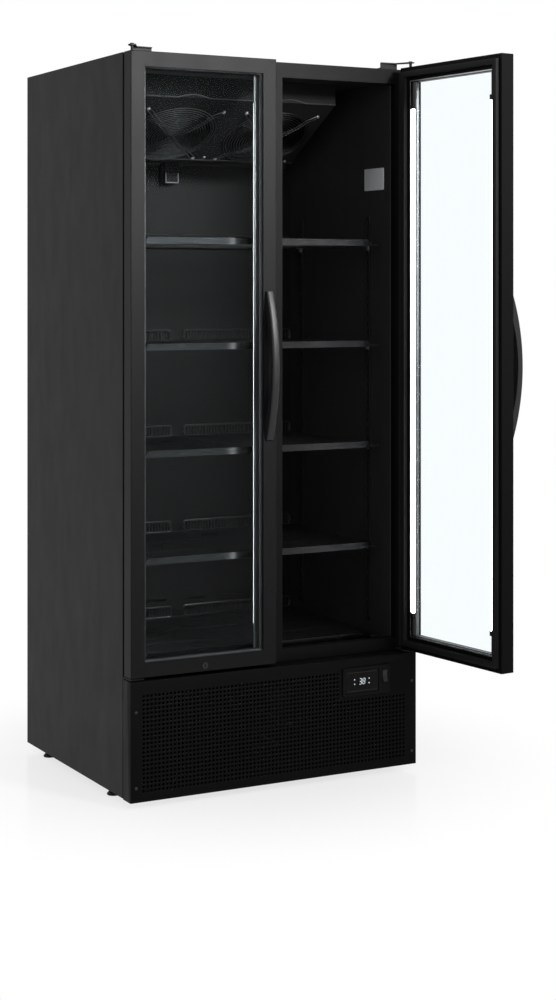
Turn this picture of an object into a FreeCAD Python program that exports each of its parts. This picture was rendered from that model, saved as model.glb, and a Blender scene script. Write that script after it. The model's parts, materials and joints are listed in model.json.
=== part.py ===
import FreeCAD, Part
import os
import re
import Sketcher

# Upright two-door glass merchandiser, in millimetres.
# Origin: on the floor, midway between the four feet. X runs to the right as seen from the front,
# Y to the back, Z up. The left door is stored closed and the right door open.

SIZES = {
    # Outer steel cabinet
    "cabinet_width": 880,
    "carcass_depth": 698,
    "cabinet_height": 1983,
    "panel_clearance": 20,
    "sheet": 1,
    "fit_gap": 0.3,
    "bend_radius": 1.5,
    "front_flange": 24.5,
    "rear_flange": 20,
    "lid_flange": 12,
    # Door opening in the cabinet front
    "sill_bottom": 335,
    "sill_top": 368,
    "header_height": 39.5,
    "side_rebate": 35,
    "mullion_width": 73,
    "mullion_depth": 32,
    "breaker_thickness": 2,
    "breaker_depth": 22,
    # Insulated cell
    "side_insulation": 40,
    "roof_insulation": 33,
    "rear_insulation": 59,
    "cell_floor": 360,
    "liner_wall": 1.2,
    "duct_depth": 32,
    "duct_foot": 26,
    "duct_side_gap": 1.2,
    "duct_head_gap": 6,
    "duct_slots": 6,
    "duct_slot_width": 60,
    "duct_slot_height": 8,
    "duct_slot_pitch": 120,
    "duct_slot_rise": 30,
    # Doors
    "door_bottom": 343,
    "door_gap": 11,
    "door_depth": 42,
    "door_face": 40,
    "doors_apart": 18,
    "door_edge_radius": 2,
    "front_lip": 4.5,
    "glass_cover": 12,
    "glass_play": 0.4,
    "pane_thickness": 4,
    "glass_cavity": 16,
    "spacer_width": 9,
    "bead_depth": 10,
    "bead_width": 13,
    "gasket_inset": 12,
    "gasket_width": 16,
    "right_door_open": 95.9,
    # Door lights
    "light_width": 13,
    "light_base": 3,
    "light_radius": 4.6,
    "light_rise": 3.6,
    "light_cap_lip": 0.8,
    "light_bottom_gap": 67,
    "light_top_gap": 79,
    "light_cap": 14,
    "light_stand": 3,
    "light_end_gap": 3,
    # Hinges
    "pin_inset": 9.5,
    "pin_setback": 14,
    "pin_radius": 4,
    "pin_play": 0.06,
    "pin_depth": 18,
    "hinge_plate": 3,
    "hinge_lift": 14.5,
    "hinge_foot_inner": 84,
    "hinge_foot_outer": 30,
    "hinge_foot_depth": 40,
    "hinge_nose": 8,
    "pin_end_gap": 2,
    "pin_head": 2.5,
    "pin_head_radius": 5.5,
    "pin_head_sides": 8,
    "washer_radius": 7,
    "washer_sides": 12,
    "washer_height": 2.6,
    "lower_leg_height": 44,
    "lower_plate_width": 40,
    # Handles
    "handle_length": 402,
    "handle_drop": 11,
    "handle_inset": 23,
    "handle_width": 22,
    "handle_bow": 46,
    "handle_tip": 9,
    "handle_grip": 19,
    "handle_pad": 52,
    "handle_round": 6,
    # Locks
    "lock_offset": 224.9,
    "lock_rise": 15.6,
    "lock_radius": 9,
    "lock_play": 0.3,
    "lock_proud": 1.5,
    "key_slot_width": 2,
    "lock_depth": 16,
    "tongue_length": 30,
    "tongue_height": 10,
    "tongue_thickness": 3,
    "tongue_play": 1.2,
    "keeper_reach": 24,
    # Lower front panel
    "grille_bottom": 18,
    "grille_top": 334,
    "grille_sheet": 1.2,
    "grille_bevel": 2,
    "hole_side": 36,
    "hole_pitch": 50.5,
    "hole_rows": 5,
    "hole_field_left": 31,
    "hole_field_bottom": 24,
    "low_hole_rows": 3,
    # Controller
    "bezel_inner": 241,
    "bezel_outer": 88,
    "bezel_bottom": 229,
    "bezel_top": 308,
    "bezel_proud": 3,
    "bezel_round": 8,
    "bezel_overlap": 4,
    "controller_depth": 36,
    "display_inner": 234,
    "display_outer": 125,
    "display_bottom": 236,
    "display_top": 301,
    "display_recess": 1.5,
    "display_thickness": 2,
    "rocker_inset": 105,
    "rocker_middle": 276,
    "rocker_width": 14,
    "rocker_height": 32,
    "rocker_play": 0.6,
    "rocker_proud": 2.5,
    "rocker_taper": 2,
    "rocker_belly": 4,
    "rocker_end_play": 1.8,
    "rocker_well_depth": 18,
    "rocker_pivot_depth": 8,
    "rocker_throw": 14,
    "trunnion_radius": 1.5,
    "trunnion_reach": 2.5,
    # Shelves
    "lowest_shelf_rise": 278,
    "top_shelf_drop": 238.1,
    "shelf_count": 4,
    "shelf_side_gap": 5,
    "shelf_front_gap": 47,
    "shelf_rear_gap": 12,
    "frame_wire": 6,
    "deck_wire": 3,
    "deck_slots": 14,
    "upstand_height": 24,
    "upstand_notch": 41,
    "rail_height": 18,
    "rail_depth": 9,
    "rail_inset": 50,
    "rail_wall": 1.2,
    "rail_bevel": 6,
    "rack_rise": 22,
    # Shelf supports
    "pilaster_width": 20,
    "pilaster_depth": 5,
    "pilaster_front": 221,
    "pilaster_rear": 60,
    "pilaster_foot": 40,
    "pilaster_head": 38,
    "pilaster_wall": 1,
    "clip_width": 12,
    "clip_height": 14,
    "clip_thickness": 2.4,
    # Evaporator
    "cover_half": 300,
    "cover_front": 160,
    "cover_lip": 60,
    "cover_fall": 30,
    "cover_height": 212,
    "cover_sheet": 1,
    "fan_centre": 153,
    "fan_up_slope": 175.5,
    "fan_opening": 118,
    "guard_radius": 130,
    "guard_hub": 20,
    "guard_wire": 2.4,
    "guard_rings": 3,
    "ring_sides": 24,
    "guard_rise": 12,
    "lug_offset": 116.7,
    "lug_radius": 6,
    "lug_sides": 8,
    "blade_radius": 110,
    "hub_radius": 26,
    "hub_sides": 12,
    "hub_height": 22,
    "hub_setback": 8,
    "blade_root": 34,
    "blade_tip": 58,
    "blade_thickness": 2,
    "blade_root_inset": 4,
    "blade_pitch": 27,
    "blade_count": 5,
    "motor_radius": 30,
    "motor_height": 34,
    "motor_gap": 5,
    "shaft_radius": 3,
    "shaft_play": 0.06,
    "shaft_end_gap": 1,
    "bracket_reach": 126,
    "bracket_width": 18,
    "bracket_sheet": 2,
    "coil_half": 250,
    "coil_depth": 120,
    "coil_height": 170,
    "coil_rear_gap": 14,
    "coil_floor_gap": 24,
    "coil_plate": 2,
    "fin_count": 18,
    "fin_thickness": 0.8,
    "fin_share": 0.4,
    "cup_centre": 28,
    "cup_width": 44,
    "cup_depth": 36,
    "cup_height": 62,
    "cup_wall": 2,
    # Machine compartment
    "foot_side_inset": 25,
    "foot_end_inset": 117,
    "foot_sides": 12,
    "foot_radius": 19,
    "foot_height": 17,
    "foot_neck": 9,
    "stem_radius": 5,
    "stem_play": 0.08,
    "stem_length": 34,
    "foot_nut_radius": 9,
    "nut_sides": 6,
    "foot_nut_height": 10,
    "chassis_sheet": 1.5,
    "condenser_fins": 22,
    "condenser_width": 320,
    "condenser_height": 250,
    "condenser_depth": 52,
    "condenser_centre": -205,
    "condenser_front_gap": 26,
    "shroud_depth": 30,
    "shroud_sheet": 1.5,
    "condenser_blade": 105,
    "orifice_gap": 8,
    "compressor_centre": 225,
    "compressor_setback": 60,
    "compressor_radius": 82,
    "compressor_height": 178,
    "compressor_lift": 18,
    "compressor_foot_bevel": 22,
    "compressor_shoulder": 17,
    "compressor_dome": 48,
    "terminal_low": 62,
    "terminal_high": 133,
    "terminal_sink": 8,
    "terminal_half": 28,
    "terminal_depth": 28,
    "grommet_radius": 11,
    "grommet_spread": 88,
    "grommet_depth": 62,
    "tray_length": 300,
    "tray_width": 150,
    "tray_height": 45,
    "tray_wall": 2.5,
    "tray_left": -360,
    "tray_front": -110,
    "pipe_radius": 4,
    "bar_sides": 8,
    "discharge_height": 107,
    "discharge_lead": 50,
    "return_height": 53,
    "return_lead": 80,
    "louvre_length": 260,
    "louvre_inset": 40,
    "louvre_height": 6,
    "louvre_pitch": 16,
    "louvre_count": 14,
    "louvre_bottom": 70,
    "gland_inset": 140,
    "gland_sides": 12,
    "gland_height": 48,
    "gland_radius": 9,
    "gland_flange": 13,
    "gland_reach": 8,
    # Fasteners
    "screw_head": 4,
    "screw_head_height": 2,
    "hinge_screw_radius": 4.5,
    "hinge_screw_height": 3,
    "hinge_screw_side": 16,
    "hinge_screw_front": 16,
    "hinge_screw_rear": 30,
    "grille_screw_inset": 15,
    "grille_screw_high": 254,
    "grille_screw_low": 56,
}

HALF = "cabinet_width/2"
FRONT = "(-carcass_depth/2)"
BACK = "(carcass_depth/2)"
INSIDE = "(cabinet_width/2 - sheet - fit_gap)"
TOP = "cabinet_height"
OPENING_SIDE = "(cabinet_width/2 - side_rebate)"
OPENING_TOP = "(cabinet_height - header_height)"
CELL_SIDE = "(cabinet_width/2 - side_insulation)"
CELL_BACK = "(carcass_depth/2 - rear_insulation)"
CELL_TOP = "(cabinet_height - roof_insulation)"
DUCT_FRONT = "(carcass_depth/2 - rear_insulation - duct_depth)"
COVER_BOTTOM = f"({CELL_TOP} - cover_height)"
LINER_FRONT = "(-carcass_depth/2 + sheet + fit_gap + breaker_depth)"
DOOR_FRONT = "(-carcass_depth/2 - door_gap - door_depth)"
DOOR_WIDTH = "(cabinet_width/2 - doors_apart/2)"
GRILLE_BACK = "(-carcass_depth/2 - hinge_plate)"
BEZEL_LEFT = "(cabinet_width/2 - bezel_inner)"
BEZEL_RIGHT = "(cabinet_width/2 - bezel_outer)"
DISPLAY_LEFT = "(cabinet_width/2 - display_inner)"
DISPLAY_RIGHT = "(cabinet_width/2 - display_outer)"
ROCKER_CENTRE = "(cabinet_width/2 - rocker_inset)"

doc = FreeCAD.newDocument("GlassDoorMerchandiser")
sheet = doc.addObject("Spreadsheet::Sheet", "Sizes")
for row, (alias, amount) in enumerate(SIZES.items(), start=1):
    sheet.set(f"A{row}", alias)
    sheet.set(f"B{row}", str(amount))
    sheet.setAlias(f"B{row}", alias)
doc.recompute()

nodes = {}


# ---------------------------------------------------------------- helpers

def linked(text):
    """Point every size named in an expression at the spreadsheet."""
    return re.sub(r"[a-z][a-z_]*", lambda word: f"Sizes.{word[0]}" if word[0] in SIZES else word[0], text)


def value(text):
    """The number that an expression of sizes stands for now."""
    return float(sheet.evalExpression(str(text)))


def bind(thing, prop, text):
    thing.setExpression(prop, linked(text))


def keep(label, thing):
    """Register a finished sub-part under its node name."""
    thing.Label = label
    nodes[label] = thing
    return thing


def place(thing, x="0", y="0", z="0", axis=None, turn=None):
    """Put a sub-part somewhere, with an optional turn about one axis."""
    start = FreeCAD.Vector(value(x), value(y), value(z))
    spin = FreeCAD.Rotation(axis, value(turn)) if axis else FreeCAD.Rotation()
    thing.Placement = FreeCAD.Placement(start, spin)
    for letter, text in zip("xyz", (x, y, z)):
        bind(thing, f".Placement.Base.{letter}", text)
    if axis:
        bind(thing, ".Placement.Rotation.Angle", f"({turn}) * 1 deg")
    return thing


def block(name, x, y, z):
    """A box between pairs of bounds along X, Y and Z."""
    box = doc.addObject("Part::Box", name)
    for prop, (low, high) in zip(("Length", "Width", "Height"), (x, y, z)):
        bind(box, prop, f"({high}) - ({low})")
    return place(box, x[0], y[0], z[0])


def bar(name, radius, length, x="0", y="0", z="0", axis=None, turn=None, sides="bar_sides"):
    """A many-sided bar that starts at a point and runs up, or along the turned axis."""
    prism = doc.addObject("Part::Prism", name)
    bind(prism, "Polygon", sides)
    bind(prism, "Circumradius", radius)
    bind(prism, "Height", length)
    return place(prism, x, y, z, axis, turn)


def fused(name, parts):
    union = doc.addObject("Part::MultiFuse", name)
    union.Shapes = parts
    union.Refine = True
    return union


def less(name, base, tools):
    """The base with the tools cut away."""
    cut = doc.addObject("Part::Cut", name)
    cut.Base = base
    cut.Tool = tools[0] if len(tools) == 1 else fused(name + "_tools", tools)
    return cut


def group(name, parts):
    """Separate solids that share one node."""
    compound = doc.addObject("Part::Compound", name)
    compound.Links = parts
    return compound


def new_body(name, several=False):
    body = doc.addObject("PartDesign::Body", name)
    body.AllowCompound = several
    return body


def draw(body, name, plane, level, loops=(), circles=()):
    """A sketch square to one axis, at a level along it.

    Each corner is (a, b); a corner that starts an arc adds a point on the arc and its radius.
    Every corner, centre and radius is tied to the sizes.
    """
    sketch = body.newObject("Sketcher::SketchObject", name)
    support = [item for item in body.Origin.OriginFeatures if item.Role == plane][0]
    sketch.AttachmentSupport = (support, [""])
    sketch.MapMode = "FlatFace"
    side = "-" if plane == "XZ_Plane" else ""
    bind(sketch, ".AttachmentOffset.Base.z", f"{side}({level})")
    for loop in loops:
        first = sketch.GeometryCount
        corners = [FreeCAD.Vector(value(corner[0]), value(corner[1]), 0) for corner in loop]
        for index, corner in enumerate(loop):
            start = corners[index]
            end = corners[(index + 1) % len(loop)]
            if len(corner) == 5:
                middle = FreeCAD.Vector(value(corner[2]), value(corner[3]), 0)
                sketch.addGeometry(Part.Arc(start, middle, end))
            else:
                sketch.addGeometry(Part.LineSegment(start, end))
        tips = []
        for index, corner in enumerate(loop):
            along = sketch.getPoint(first + index, 1).distanceToPoint(corners[index]) < 1e-6
            tips.append((1, 2) if along else (2, 1))
        for index, corner in enumerate(loop):
            after = (index + 1) % len(loop)
            join = Sketcher.Constraint(
                "Coincident", first + index, tips[index][1], first + after, tips[after][0])
            sketch.addConstraint(join)
            for kind, text in (("DistanceX", corner[0]), ("DistanceY", corner[1])):
                fix = Sketcher.Constraint(kind, -1, 1, first + index, tips[index][0], value(text))
                number = sketch.addConstraint(fix)
                bind(sketch, f"Constraints[{number}]", text)
            if len(corner) == 5:
                fix = Sketcher.Constraint("Radius", first + index, value(corner[4]))
                number = sketch.addConstraint(fix)
                bind(sketch, f"Constraints[{number}]", corner[4])
    for across, up, radius in circles:
        centre = FreeCAD.Vector(value(across), value(up), 0)
        circle = sketch.addGeometry(Part.Circle(centre, FreeCAD.Vector(0, 0, 1), value(radius)))
        for kind, text in (("DistanceX", across), ("DistanceY", up)):
            number = sketch.addConstraint(Sketcher.Constraint(kind, -1, 1, circle, 3, value(text)))
            bind(sketch, f"Constraints[{number}]", text)
        number = sketch.addConstraint(Sketcher.Constraint("Radius", circle, value(radius)))
        bind(sketch, f"Constraints[{number}]", radius)
    return sketch


def rectangle(a, b):
    """Corners of a rectangle between two pairs of bounds."""
    return [(a[0], b[0]), (a[1], b[0]), (a[1], b[1]), (a[0], b[1])]


def many_sided(across, up, radius, sides):
    """Corners of a regular polygon round a centre."""
    turns = [f"({corner} + 0.5)*360deg/{sides}" for corner in range(SIZES[sides])]
    return [(f"{across} + {radius}*cos({turn})", f"{up} + {radius}*sin({turn})") for turn in turns]


def pad(body, sketch, length):
    """Raise a sketch towards the positive end of the axis that it is square to."""
    feature = body.newObject("PartDesign::Pad", sketch.Name + "_pad")
    feature.Profile = sketch
    bind(feature, "Length", length)
    feature.Reversed = sketch.AttachmentSupport[0][0].Role == "XZ_Plane"
    return feature


def pocket(body, sketch, length):
    """Cut a sketch towards the positive end of the axis that it is square to."""
    feature = body.newObject("PartDesign::Pocket", sketch.Name + "_pocket")
    feature.Profile = sketch
    bind(feature, "Length", length)
    feature.Reversed = sketch.AttachmentSupport[0][0].Role != "XZ_Plane"
    return feature


def revolve(body, sketch):
    """A full turn about the sketch's own upright axis."""
    feature = body.newObject("PartDesign::Revolution", sketch.Name + "_turned")
    feature.Profile = sketch
    feature.ReferenceAxis = (sketch, ["V_Axis"])
    feature.Angle = 360
    return feature


def repeat(body, feature, direction, count, pitch):
    """A row of equal copies along one of the body's axes."""
    pattern = body.newObject("PartDesign::LinearPattern", feature.Name + "_row")
    pattern.Originals = [feature]
    axis = [item for item in body.Origin.OriginFeatures if item.Role == direction][0]
    pattern.Direction = (axis, [""])
    pattern.Mode = "Spacing"
    bind(pattern, "Offset", pitch)
    bind(pattern, "Occurrences", count)
    body.Tip = pattern
    return pattern


def dress(body, kind, feature, size, wanted):
    """Fillet or chamfer the edges that a test picks by their end points."""
    doc.recompute()
    names = []
    for index, edge in enumerate(feature.Shape.Edges, start=1):
        if wanted([vertex.Point for vertex in edge.Vertexes]):
            names.append(f"Edge{index}")
    finish = body.newObject(f"PartDesign::{kind}", f"{feature.Name}_{kind.lower()}")
    finish.Base = (feature, names)
    bind(finish, "Radius" if kind == "Fillet" else "Size", size)
    body.Tip = finish
    return finish


def near(number, target):
    return abs(number - target) < 0.01


def sorted_bounds(hand, near_end, far_end):
    """Bounds on the chosen side of the middle, the lower one first."""
    if hand == "1":
        return near_end, far_end
    return f"-({far_end})", f"-({near_end})"


HANDS = (("Left", "-1"), ("Right", "1"))
X_AXIS = FreeCAD.Vector(1, 0, 0)
Y_AXIS = FreeCAD.Vector(0, 1, 0)
Z_AXIS = FreeCAD.Vector(0, 0, 1)


# ---------------------------------------------------------------- outer steel cabinet

def side_panel(name, hand):
    """A folded side with a return at the front and one at the back."""
    body = new_body(name)
    outer = f"{hand}*{HALF}"
    skin = f"{hand}*({HALF} - sheet)"
    front_end = f"{hand}*({HALF} - front_flange)"
    rear_end = f"{hand}*({HALF} - rear_flange)"
    profile = [
        (outer, FRONT), (outer, BACK), (rear_end, BACK), (rear_end, f"{BACK} - sheet"),
        (skin, f"{BACK} - sheet"), (skin, f"{FRONT} + sheet"),
        (front_end, f"{FRONT} + sheet"), (front_end, FRONT)]
    sketch = draw(body, name + "_profile", "XY_Plane", "panel_clearance", [profile])
    raised = pad(body, sketch, f"{TOP} - panel_clearance")
    edge_x = value(outer)
    dress(body, "Fillet", raised, "bend_radius",
          lambda ends: len(ends) == 2 and all(near(end.x, edge_x) for end in ends)
          and near(ends[0].y, ends[1].y))
    return keep(name, body)


side_panel("side_panel_left", "-1")
side_panel("side_panel_right", "1")

lid = new_body("Lid")
lid_side = INSIDE
lid_profile = [
    (f"-{lid_side}", TOP), (lid_side, TOP), (lid_side, f"{TOP} - lid_flange"),
    (f"{lid_side} - sheet", f"{TOP} - lid_flange"), (f"{lid_side} - sheet", f"{TOP} - sheet"),
    (f"-{lid_side} + sheet", f"{TOP} - sheet"), (f"-{lid_side} + sheet", f"{TOP} - lid_flange"),
    (f"-{lid_side}", f"{TOP} - lid_flange")]
lid_sketch = draw(lid, "lid_profile", "XZ_Plane", f"{FRONT} + sheet + fit_gap", [lid_profile])
pad(lid, lid_sketch, "carcass_depth - 2*sheet - 2*fit_gap")
keep("top_panel", lid)

REAR_SKIN = f"({BACK} - 2*sheet - fit_gap)"
GLAND_X = f"({HALF} - gland_inset)"
back = new_body("Back")
back_sketch = draw(back, "back_outline", "XZ_Plane", REAR_SKIN, [
    rectangle((f"-{INSIDE}", INSIDE), ("panel_clearance + fit_gap", f"{TOP} - sheet - lid_flange - fit_gap")),
    many_sided(GLAND_X, "gland_height", "(gland_radius + fit_gap)", "gland_sides")])
pad(back, back_sketch, "sheet")
louvre_sketch = draw(back, "louvre", "XZ_Plane", REAR_SKIN, [
    rectangle(("-louvre_length - louvre_inset", "-louvre_inset"),
              ("louvre_bottom", "louvre_bottom + louvre_height"))])
louvre = pocket(back, louvre_sketch, "sheet")
repeat(back, louvre, "Z_Axis", "louvre_count", "louvre_pitch")
keep("back_panel", back)

# The front is welded from flat strips and one box-section mullion.
FRAME_SIDE = f"({HALF} - front_flange - fit_gap)"
FRAME_DEPTH = (FRONT, f"{FRONT} + sheet")
mullion = new_body("Mullion")
pad(mullion, draw(mullion, "mullion_section", "XY_Plane", "sill_top", [
    rectangle(("-mullion_width/2", "mullion_width/2"), (FRONT, f"{FRONT} + mullion_depth")),
    rectangle(("-mullion_width/2 + 2*sheet", "mullion_width/2 - 2*sheet"),
              (f"{FRONT} + 2*sheet", f"{FRONT} + mullion_depth - 2*sheet"))]), f"{OPENING_TOP} - sill_top")
posts = [block(f"Post{side}", sorted_bounds(hand, OPENING_SIDE, FRAME_SIDE), FRAME_DEPTH,
               ("sill_bottom", f"{TOP} - fit_gap")) for side, hand in HANDS]
header = block("Header", (f"-{OPENING_SIDE}", OPENING_SIDE), FRAME_DEPTH, (OPENING_TOP, f"{TOP} - fit_gap"))
sill = block("Sill", (f"-{OPENING_SIDE}", OPENING_SIDE), FRAME_DEPTH, ("sill_bottom", "sill_top"))
keep("front_frame", group("FrontFrame", posts + [header, sill, mullion]))


def breaker(name, low, high):
    """A plastic strip round one door opening, between the steel front and the liner."""
    ring = new_body(name)
    outer = rectangle((low, high), ("sill_top", OPENING_TOP))
    inner = rectangle((f"{low} + breaker_thickness", f"{high} - breaker_thickness"),
                      ("sill_top + breaker_thickness", f"{OPENING_TOP} - breaker_thickness"))
    sketch = draw(ring, name + "_ring", "XZ_Plane", f"{FRONT} + sheet/2", [outer, inner])
    pad(ring, sketch, "breaker_depth")
    return ring


keep("breaker_strips", group("BreakerStrips", [
    breaker("BreakerLeft", f"-{OPENING_SIDE}", "-mullion_width/2"),
    breaker("BreakerRight", "mullion_width/2", OPENING_SIDE)]))

# ---------------------------------------------------------------- insulated cell

liner_outer_side = f"({CELL_SIDE} + liner_wall)"
liner = new_body("Liner")
liner_outline = rectangle((f"-{liner_outer_side}", liner_outer_side),
                          ("cell_floor - liner_wall", f"{CELL_TOP} + liner_wall"))
pad(liner, draw(liner, "liner_outer", "XZ_Plane", LINER_FRONT, [liner_outline]),
    f"{CELL_BACK} + liner_wall - {LINER_FRONT}")
hollow = rectangle((f"-{CELL_SIDE}", CELL_SIDE), ("cell_floor", CELL_TOP))
pocket(liner, draw(liner, "liner_inner", "XZ_Plane", LINER_FRONT, [hollow]),
       f"{CELL_BACK} - {LINER_FRONT}")
keep("inner_liner", liner)

# Foam fills the space between the skins and the liner, up to the steel round the openings.
foam = new_body("Foam")
foam_outline = rectangle((f"-({HALF} - sheet)", f"{HALF} - sheet"), ("sill_bottom", f"{TOP} - lid_flange"))
pad(foam, draw(foam, "foam_outer", "XZ_Plane", f"{FRONT} + sheet", [foam_outline]),
    f"{REAR_SKIN} - {FRONT} - sheet")
mouth = rectangle((f"-{OPENING_SIDE}", OPENING_SIDE), ("sill_top", OPENING_TOP))
pocket(foam, draw(foam, "foam_mouth", "XZ_Plane", f"{FRONT} + sheet", [mouth]),
       f"{LINER_FRONT} - {FRONT} - sheet")
pocket(foam, draw(foam, "foam_hollow", "XZ_Plane", LINER_FRONT, [liner_outline]),
       f"{CELL_BACK} + liner_wall - {LINER_FRONT}")
keep("insulation_foam", foam)

# The air duct cover is a folded panel in front of the liner's back wall.
duct_side = f"({CELL_SIDE} - duct_side_gap)"
duct = new_body("DuctPanel")
duct_profile = [
    (f"-{duct_side}", DUCT_FRONT), (duct_side, DUCT_FRONT),
    (duct_side, CELL_BACK), (f"{duct_side} - sheet", CELL_BACK),
    (f"{duct_side} - sheet", f"{DUCT_FRONT} + sheet"), (f"-{duct_side} + sheet", f"{DUCT_FRONT} + sheet"),
    (f"-{duct_side} + sheet", CELL_BACK), (f"-{duct_side}", CELL_BACK)]
duct_sketch = draw(duct, "duct_profile", "XY_Plane", "cell_floor + duct_foot", [duct_profile])
pad(duct, duct_sketch, f"{COVER_BOTTOM} - duct_head_gap - cell_floor - duct_foot")
SLOT_START = "(-(duct_slots - 1)*duct_slot_pitch/2)"
slot_sketch = draw(duct, "duct_slot", "XZ_Plane", DUCT_FRONT, [
    rectangle((f"{SLOT_START} - duct_slot_width/2", f"{SLOT_START} + duct_slot_width/2"),
              ("cell_floor + duct_foot + duct_slot_rise",
               "cell_floor + duct_foot + duct_slot_rise + duct_slot_height"))])
repeat(duct, pocket(duct, slot_sketch, "sheet"), "X_Axis", "duct_slots", "duct_slot_pitch")
keep("rear_duct_panel", duct)

# ---------------------------------------------------------------- shelf supports and shelves


def pilaster(name, hand, start):
    """An upright channel on a side wall, open towards the wall."""
    body = new_body(name)
    wall = f"{hand}*{CELL_SIDE}"
    face = f"{hand}*({CELL_SIDE} - pilaster_depth)"
    inner = f"{hand}*({CELL_SIDE} - pilaster_depth + pilaster_wall)"
    end = f"{start} + pilaster_width"
    profile = [
        (wall, start), (face, start), (face, end), (wall, end), (wall, f"{end} - pilaster_wall"),
        (inner, f"{end} - pilaster_wall"), (inner, f"{start} + pilaster_wall"),
        (wall, f"{start} + pilaster_wall")]
    sketch = draw(body, name + "_profile", "XY_Plane", "cell_floor + pilaster_foot", [profile])
    pad(body, sketch, f"{COVER_BOTTOM} - pilaster_head - cell_floor - pilaster_foot")
    return body


PILASTER_FRONT = "(-pilaster_front)"
PILASTER_REAR = f"({DUCT_FRONT} - pilaster_rear - pilaster_width)"
keep("pilasters", group("Pilasters", [
    pilaster(f"Pilaster{column}{row}", hand, start)
    for column, hand in HANDS
    for row, start in (("Front", PILASTER_FRONT), ("Rear", PILASTER_REAR))]))

PILASTER_FACE = f"({CELL_SIDE} - pilaster_depth)"
SHELF_SIDE = f"({PILASTER_FACE} - shelf_side_gap)"
SHELF_FRONT = f"({FRONT} + shelf_front_gap)"
SHELF_REAR = f"({DUCT_FRONT} - shelf_rear_gap)"


def wire_deck(name, rail_top, extra=()):
    """A welded wire shelf: a slotted deck in a heavy frame, two cross bars and a split upstand behind."""
    frame_top = f"({rail_top} - rail_height/2)"
    frame_low = f"({frame_top} - frame_wire)"
    wire_low = f"({frame_top} - deck_wire)"
    front_end = f"({SHELF_FRONT} + rail_depth)"
    inner_side = f"({SHELF_SIDE} - frame_wire)"
    inner_ends = (f"{front_end} + frame_wire", f"{SHELF_REAR} - frame_wire")
    outline = rectangle((f"-{SHELF_SIDE}", SHELF_SIDE), (front_end, SHELF_REAR))
    deck = new_body(name + "Deck")
    pad(deck, draw(deck, name + "_plane", "XY_Plane", wire_low, [outline]), "deck_wire")
    pitch = f"(2*{inner_side} + deck_wire)/deck_slots"
    slot = draw(deck, name + "_slot", "XY_Plane", wire_low, [
        rectangle((f"-{inner_side}", f"-{inner_side} + {pitch} - deck_wire"), inner_ends)])
    repeat(deck, pocket(deck, slot, "deck_wire"), "X_Axis", "deck_slots", pitch)
    window = rectangle((f"-{inner_side}", inner_side), inner_ends)
    border = draw(deck, name + "_border", "XY_Plane", frame_low, [outline, window])
    pad(deck, border, "frame_wire - deck_wire")
    third = f"(({SHELF_REAR} - {front_end})/3)"
    bars = [
        block(f"{name}Bar{number}", (f"-{inner_side}", inner_side),
              (f"{front_end} + {number}*{third} - frame_wire/2",
               f"{front_end} + {number}*{third} + frame_wire/2"),
              (frame_low, wire_low))
        for number in (1, 2)]
    fences = []
    for side, near_end, far_end in (("L", f"-{SHELF_SIDE}", "-upstand_notch/2"),
                                    ("R", "upstand_notch/2", SHELF_SIDE)):
        fence = new_body(f"{name}Upstand{side}")
        top = f"({rail_top} + upstand_height)"
        loop = rectangle((near_end, far_end), (frame_top, top))
        gap = rectangle((f"{near_end} + frame_wire/2", f"{far_end} - frame_wire/2"),
                        (f"{frame_top} + frame_wire/2", f"{top} - frame_wire/2"))
        outline = draw(fence, f"{name}_upstand{side}", "XZ_Plane", f"{SHELF_REAR} - frame_wire/2",
                       [loop, gap])
        pad(fence, outline, "frame_wire/2")
        fences.append(fence)
    return group(name, [deck] + bars + fences + list(extra))


LOWEST_RAIL = "(cell_floor + lowest_shelf_rise)"
SHELF_SPACING = f"(({COVER_BOTTOM} - top_shelf_drop - {LOWEST_RAIL})/(shelf_count - 1))"


def rail_top_at(number):
    return f"({LOWEST_RAIL} + {number}*{SHELF_SPACING})"


for number in range(SIZES["shelf_count"]):
    keep(f"shelf_{number + 1}", wire_deck(f"Shelf{number + 1}", rail_top_at(number)))
FLOOR_RAIL_TOP = "(cell_floor + rack_rise)"
runners = [
    block(f"FloorRackRunner{side}", sorted_bounds(hand, f"{SHELF_SIDE} - frame_wire", SHELF_SIDE),
          (f"{SHELF_FRONT} + rail_depth", SHELF_REAR),
          ("cell_floor", f"{FLOOR_RAIL_TOP} - rail_height/2 - frame_wire"))
    for side, hand in HANDS]
keep("floor_rack", wire_deck("FloorRack", FLOOR_RAIL_TOP, runners))


def price_rail(name, rail_top):
    """A ticket rail: an open channel with slanted ends that hooks on the shelf's front wire."""
    body = new_body(name)
    low = f"({rail_top} - rail_height)"
    rear = f"({SHELF_FRONT} + rail_depth)"
    profile = [
        (SHELF_FRONT, low), (rear, low), (rear, f"{low} + rail_height/2"),
        (f"{rear} - rail_wall", f"{low} + rail_height/2"), (f"{rear} - rail_wall", f"{low} + rail_wall"),
        (f"{SHELF_FRONT} + rail_wall", f"{low} + rail_wall"),
        (f"{SHELF_FRONT} + rail_wall", f"{rail_top} - rail_wall"),
        (rear, f"{rail_top} - rail_wall"), (rear, rail_top), (SHELF_FRONT, rail_top)]
    half = f"({CELL_SIDE} - rail_inset)"
    pad(body, draw(body, name + "_profile", "YZ_Plane", f"-{half}", [profile]), f"2*{half}")
    ends = [[(f"{hand}*{half}", rail_top), (f"{hand}*({half} - rail_bevel)", rail_top),
             (f"{hand}*{half}", f"{rail_top} - rail_height/2")] for hand in ("-1", "1")]
    pocket(body, draw(body, name + "_ends", "XZ_Plane", SHELF_FRONT, ends), "rail_depth")
    return body


rails = [price_rail(f"PriceRail{number + 1}", rail_top_at(number)) for number in range(SIZES["shelf_count"])]
rails.append(price_rail("PriceRailFloor", FLOOR_RAIL_TOP))
keep("price_rails", group("PriceRails", rails))


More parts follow.
